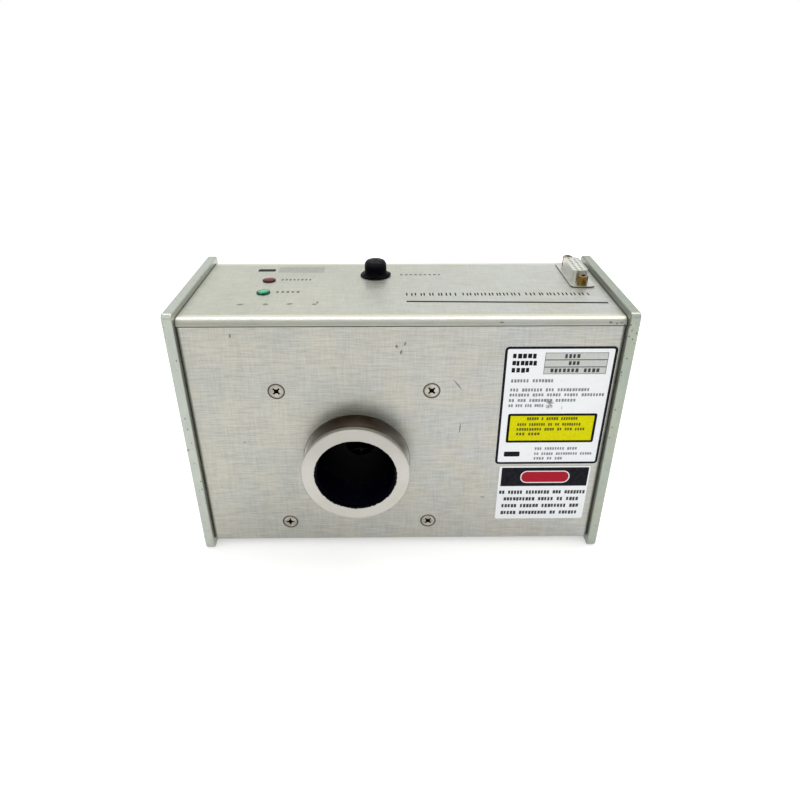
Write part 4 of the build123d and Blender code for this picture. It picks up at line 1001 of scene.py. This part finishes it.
def outline(left, right, low, high, corner):
    """Points round a rectangle with rounded corners, anticlockwise."""
    points = []
    corner = max(corner, 0.00001)
    turns = (
        (right - corner, high - corner, 0),
        (left + corner, high - corner, 1),
        (left + corner, low + corner, 2),
        (right - corner, low + corner, 3),
    )
    for across, up, quarter in turns:
        for step in range(corner_steps + 1):
            angle = math.radians(90 * (quarter + step / corner_steps))
            points.append((across + corner * math.cos(angle), up + corner * math.sin(angle)))
    return points


def on_front(across, up, out):
    """A point on the labels' face."""
    return (across, label_face - out, up)


def on_cover(across, back, out):
    """A point on the top cover."""
    return (across, back, cover_top + out)


def print_fields(name, material, seat, fields, base=0.0):
    """Prints fields (left, right, low, high, corner, border) as one thin piece of ink."""
    mesh = bmesh.new()
    for left, right, low, high, corner, border in fields:
        rings = [outline(left, right, low, high, corner)]
        if border:
            inner = outline(
                left + border, right - border, low + border, high - border, corner - border
            )
            rings.append(inner)
        loops = [
            [mesh.verts.new(seat(a, b, base + out)) for a, b in ring]
            for ring in rings
            for out in (0.0, ink_thickness)
        ]
        count = len(loops[0])
        if border:
            walls = (
                (loops[0], loops[1]),
                (loops[1], loops[3]),
                (loops[3], loops[2]),
                (loops[2], loops[0]),
            )
        else:
            walls = ((loops[0], loops[1]),)
            mesh.faces.new(loops[1])
            mesh.faces.new(list(reversed(loops[0])))
        for one, other in walls:
            for i in range(count):
                j = (i + 1) % count
                mesh.faces.new((one[i], one[j], other[j], other[i]))
    bmesh.ops.recalc_face_normals(mesh, faces=mesh.faces)
    data = bpy.data.meshes.new(name)
    mesh.to_mesh(data)
    mesh.free()
    data.materials.append(material)
    piece = bpy.data.objects.new(name, data)
    bpy.context.scene.collection.objects.link(piece)
    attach(piece, "case")


def ink(name, color, worn):
    """Ink of one colour, a little thin in places."""
    return grained(
        name,
        color,
        worn,
        (1200.0, 1200.0, 1200.0),
        0.000002,
        values={"Grain Depth": 0.08, "Mottle": 0.7, "Mottle Scale": 500.0, "Roughness": 0.45},
        specular_ior_level=0.04,
    )[0]


def word_line(left, right, low, high, words, seed, letter=0.8, stroke=None):
    """Small blocks, or pairs of strokes, in the rhythm of words of so many letters each."""
    draw = random.Random(seed)
    pitch = (right - left) / (sum(words) + len(words) - 1)
    fields = []
    start = left
    for length in words:
        for _ in range(length):
            width = pitch * letter * draw.uniform(0.75, 1.0)
            rise = (high - low) * draw.uniform(0.0, 0.12)
            if stroke is None:
                fields.append((start, start + width, low + rise, high, 0.00008, 0.0))
            else:
                fields.append((start, start + stroke, low + rise, high, 0.0, 0.0))
                fields.append((start + width - stroke, start + width, low, high - rise, 0.0, 0.0))
            start += pitch
        start += pitch
    return fields


ink_black = ink("ink_black", (0.008, 0.008, 0.012, 1.0), (0.020, 0.018, 0.024, 1.0))
ink_dark = ink("ink_dark", (0.045, 0.047, 0.052, 1.0), (0.08, 0.08, 0.085, 1.0))
ink_grey = ink("ink_grey", (0.22, 0.225, 0.24, 1.0), (0.30, 0.31, 0.32, 1.0))
ink_pale = ink("ink_pale", (0.56, 0.58, 0.55, 1.0), (0.60, 0.61, 0.58, 1.0))
ink_yellow = ink("ink_yellow", (0.72, 0.69, 0.002, 1.0), (0.66, 0.62, 0.004, 1.0))
ink_olive = ink("ink_olive", (0.105, 0.10, 0.015, 1.0), (0.15, 0.14, 0.02, 1.0))
ink_white = ink("ink_white", (0.80, 0.80, 0.81, 1.0), (0.74, 0.74, 0.75, 1.0))
ink_red = ink("ink_red", (0.42, 0.012, 0.030, 1.0), (0.36, 0.02, 0.03, 1.0))

key_inset = 0.0001
border_width = 0.0013
low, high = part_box("data_label")
keyline = (
    low[0] + key_inset,
    high[0] - key_inset,
    low[2] + key_inset,
    high[2] - key_inset,
    0.0021,
    border_width,
)
yellow = (0.0535, 0.0986, 0.0690, 0.0864)
lap = 0.0007
print_fields(
    "label_black_print",
    ink_black,
    on_front,
    [keyline, (*yellow, 0.0010, border_width)],
)
print_fields(
    "label_yellow_field",
    ink_yellow,
    on_front,
    [(yellow[0] + lap, yellow[1] - lap, yellow[2] + lap, yellow[3] - lap, 0.0005, 0.0)],
)
entry_left, entry_right, entry_low, entry_high = 0.0685, 0.0988, 0.1088, 0.1203
entry_count = 3
entry_step = (entry_high - entry_low) / entry_count
entries = []
entry_lines = []
for row in range(entry_count):
    base = entry_low + row * entry_step
    entries.append((entry_left, entry_right, base, base + entry_step, 0.0001, 0.0))
    entry_lines.append((entry_left, entry_right, base, base + entry_step, 0.0001, 0.00022))
print_fields("label_entry_fields", ink_pale, on_front, entries)
print_fields(
    "label_entry_lines", ink_dark, on_front, entry_lines, base=ink_thickness
)
bold_words = [
    *word_line(0.0530, 0.0650, 0.1172, 0.1198, (5,), 1, 0.88),
    *word_line(0.0530, 0.0652, 0.1134, 0.1160, (6,), 2, 0.88),
    *word_line(0.0530, 0.0622, 0.1096, 0.1122, (4,), 3, 0.88),
]
print_fields("label_bold_lines", ink_black, on_front, bold_words)
typed_words = [
    *word_line(0.0780, 0.0857, 0.1173, 0.1195, (4,), 4, 0.75),
    *word_line(0.0802, 0.0859, 0.1135, 0.1157, (3,), 5, 0.75),
    *word_line(0.0718, 0.0961, 0.1096, 0.1118, (7, 4), 6, 0.75),
]
print_fields(
    "label_typed_lines", ink_dark, on_front, typed_words, base=ink_thickness
)
small_words = [
    *word_line(0.0533, 0.0743, 0.1042, 0.1060, (6, 7), 7),
    *word_line(0.0533, 0.0927, 0.0991, 0.1009, (3, 7, 3, 11), 8),
    *word_line(0.0532, 0.1003, 0.0963, 0.0980, (7, 4, 5, 5, 8), 9),
    *word_line(0.0531, 0.0866, 0.0932, 0.0949, (2, 3, 8, 7), 10),
    *word_line(0.0532, 0.0709, 0.0902, 0.0919, (2, 3, 3, 4), 11),
    *word_line(0.0691, 0.0912, 0.0643, 0.0660, (3, 8, 4), 12),
    *word_line(0.0691, 0.0994, 0.0611, 0.0627, (2, 5, 9, 5), 13),
    *word_line(0.0692, 0.0844, 0.0581, 0.0598, (4, 2, 3), 14),
]
print_fields("label_small_lines", ink_grey, on_front, small_words)
print_fields(
    "label_mark_field",
    ink_black,
    on_front,
    [(0.0533, 0.0615, 0.0603, 0.0634, 0.0006, 0.0)],
)
yellow_words = [
    *word_line(0.0632, 0.0891, 0.0825, 0.0843, (5, 1, 5, 7), 15),
    *word_line(0.0587, 0.0910, 0.0791, 0.0808, (4, 7, 2, 2, 8), 16),
    *word_line(0.0585, 0.0935, 0.0762, 0.0779, (10, 4, 2, 3, 4), 17),
    *word_line(0.0586, 0.0709, 0.0734, 0.0751, (3, 4), 18),
]
print_fields(
    "label_yellow_lines", ink_olive, on_front, yellow_words, base=ink_thickness
)

band = (0.0531, 0.0994, 0.0409, 0.0531, 0.0002)
bar = (0.0633, 0.0896, 0.0430, 0.0510, 0.0036)
print_fields("lower_label_band", ink_black, on_front, [(*band, 0.0)])
print_fields(
    "lower_label_bar", ink_red, on_front, [(*bar, 0.0)], base=ink_thickness
)
print_fields(
    "lower_label_ring",
    ink_white,
    on_front,
    [(*bar, 0.0006)],
    base=2 * ink_thickness,
)
lower_words = [
    *word_line(0.0528, 0.0996, 0.0355, 0.0379, (2, 5, 8, 3, 7), 19, 0.85),
    *word_line(0.0556, 0.0966, 0.0309, 0.0333, (10, 5, 2, 4), 20, 0.85),
    *word_line(0.0548, 0.0972, 0.0262, 0.0286, (5, 6, 8, 3), 21, 0.85),
    *word_line(0.0547, 0.0971, 0.0214, 0.0238, (5, 9, 2, 6), 22, 0.85),
]
print_fields("lower_label_lines", ink_dark, on_front, lower_words)

# ---- print on the cover ----
# The same blocks and rules, printed straight on the metal: captions for the indicators
# and the socket, a title line, and a rule under it that drops a little to the right.
cover_black = ink("cover_ink_black", (0.010, 0.010, 0.010, 1.0), (0.022, 0.020, 0.018, 1.0))
cover_grey = ink("cover_ink_grey", (0.10, 0.10, 0.09, 1.0), (0.18, 0.18, 0.16, 1.0))
cover_faint = ink("cover_ink_faint", (0.29, 0.295, 0.265, 1.0), (0.33, 0.33, 0.30, 1.0))
print_fields(
    "cover_mark_field",
    cover_black,
    on_cover,
    [(-0.0785, -0.0690, 0.0256, 0.0296, 0.0008, 0.0)],
)
print_fields(
    "cover_mark_stripe",
    cover_faint,
    on_cover,
    [(-0.0672, -0.0422, 0.0241, 0.0328, 0.0003, 0.0)],
)
cover_captions = [
    *word_line(-0.0634, -0.0467, 0.0108, 0.0132, (8,), 31, 0.6),
    *word_line(-0.0634, -0.0505, -0.0078, -0.0052, (5,), 32, 0.6),
    *word_line(-0.0002, 0.0230, 0.0188, 0.0205, (9,), 33, 0.6),
]
print_fields("cover_captions", cover_grey, on_cover, cover_captions)
title_stroke = 0.0007
cover_title = [
    *word_line(0.0025, 0.0289, -0.0124, -0.0083, (6,), 34, 0.85, title_stroke),
    *word_line(0.0310, 0.0608, -0.0124, -0.0083, (8,), 35, 0.85, title_stroke),
    *word_line(0.0629, 0.0957, -0.0124, -0.0083, (8,), 36, 0.85, title_stroke),
]
print_fields("cover_title", cover_black, on_cover, cover_title)
rule_start = (0.0025, -0.0201)
rule_end = (0.1012, -0.0227)
rule_width = 0.0017
rule_mesh = bmesh.new()
rule_corners = [
    (rule_start[0], rule_start[1] - rule_width / 2),
    (rule_end[0], rule_end[1] - rule_width / 2),
    (rule_end[0], rule_end[1] + rule_width / 2),
    (rule_start[0], rule_start[1] + rule_width / 2),
]
lower = [rule_mesh.verts.new(on_cover(a, b, 0.0)) for a, b in rule_corners]
upper = [rule_mesh.verts.new(on_cover(a, b, ink_thickness)) for a, b in rule_corners]
rule_mesh.faces.new(upper)
rule_mesh.faces.new(list(reversed(lower)))
for i in range(4):
    j = (i + 1) % 4
    rule_mesh.faces.new((lower[i], lower[j], upper[j], upper[i]))
rule_data = bpy.data.meshes.new("cover_rule")
rule_mesh.to_mesh(rule_data)
rule_mesh.free()
rule_data.materials.append(cover_black)
cover_rule = bpy.data.objects.new("cover_rule", rule_data)
bpy.context.scene.collection.objects.link(cover_rule)
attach(cover_rule, "case")

# ---- dust cap ----
# A soft black moulding pushed over the round socket.  Its thin skirt has gone wavy, and
# the crown keeps a small pip where it was trimmed off its runner.
cap_low, cap_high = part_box("dust_cap")
cap_middle = ((cap_low[0] + cap_high[0]) / 2, (cap_low[1] + cap_high[1]) / 2)
cap_foot = cap_low[2]
cap_rows = [
    (0.00466, 0.00755),
    (0.00466, 0.0050),
    (0.00466, 0.0026),
    (0.0050, 0.0018),
    (0.0060, 0.0010),
    (0.0069, 0.0004),
    (0.0074, 0.0001),
    (0.0080, 0.0000),
    (0.0081, 0.0003),
    (0.0079, 0.0005),
    (0.0072, 0.0007),
    (0.0066, 0.0011),
    (0.0061, 0.0017),
    (0.00590, 0.0025),
    (0.00588, 0.0040),
    (0.00588, 0.0056),
    (0.00576, 0.0067),
    (0.00540, 0.0076),
    (0.00470, 0.0083),
    (0.00360, 0.0087),
    (0.00240, 0.0088),
    (0.00150, 0.00882),
    (0.00120, 0.0090),
    (0.00080, 0.0092),
    (0.00040, 0.00925),
]
cap_steps = 72
skirt_start = 0.0059
skirt_reach = 0.0022
skirt_lift = 0.00022
skirt_swing = 0.00018
cap_mesh = bmesh.new()
cap_rings = []
for radius, height in cap_rows:
    ring = []
    for step in range(cap_steps):
        angle = 2 * math.pi * step / cap_steps
        flare = max(0.0, (radius - skirt_start) / skirt_reach) if height < 0.0026 else 0.0
        wave = math.sin(3 * angle + 0.6) + 0.6 * math.sin(5 * angle + 2.1)
        lift = skirt_lift * flare * (wave + 1.6)
        out = radius + skirt_swing * flare * math.sin(4 * angle + 1.0)
        ring.append(
            cap_mesh.verts.new(
                (
                    cap_middle[0] + out * math.cos(angle),
                    cap_middle[1] + out * math.sin(angle),
                    cap_foot + height + lift,
                )
            )
        )
    cap_rings.append(ring)
for one, other in zip(cap_rings, cap_rings[1:]):
    for i in range(cap_steps):
        j = (i + 1) % cap_steps
        cap_mesh.faces.new((one[i], one[j], other[j], other[i]))
for ring, height in ((cap_rings[0], cap_rows[0][1]), (cap_rings[-1], cap_rows[-1][1])):
    centre = cap_mesh.verts.new((cap_middle[0], cap_middle[1], cap_foot + height))
    for i in range(cap_steps):
        cap_mesh.faces.new((ring[i], ring[(i + 1) % cap_steps], centre))
bmesh.ops.recalc_face_normals(cap_mesh, faces=cap_mesh.faces)
for face in cap_mesh.faces:
    face.smooth = True
cap_data = bpy.data.meshes.new("soft_cap")
cap_mesh.to_mesh(cap_data)
cap_mesh.free()
cap_rubber, tree, shader = grained(
    "cap_rubber",
    (0.0015, 0.0015, 0.0025, 1.0),
    (0.0035, 0.0030, 0.0045, 1.0),
    (500.0, 500.0, 500.0),
    0.00001,
    values={"Grain Depth": 0.15, "Mottle": 0.7, "Mottle Scale": 260.0, "Roughness": 0.36},
    specular_ior_level=0.02,
    coat_roughness=0.28,
)
crown_low, crown_full = cap_high[2] - 0.0045, cap_high[2] - 0.0015
handled = ramped(tree, object_place(tree)[1][2], crown_low, crown_full, 0.0, 0.16)
tree.links.new(handled, shader.inputs["Coat Weight"])
cap_data.materials.append(cap_rubber)
soft_cap = bpy.data.objects.new("soft_cap", cap_data)
bpy.context.scene.collection.objects.link(soft_cap)
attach(soft_cap, "cap")
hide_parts("dust_cap")
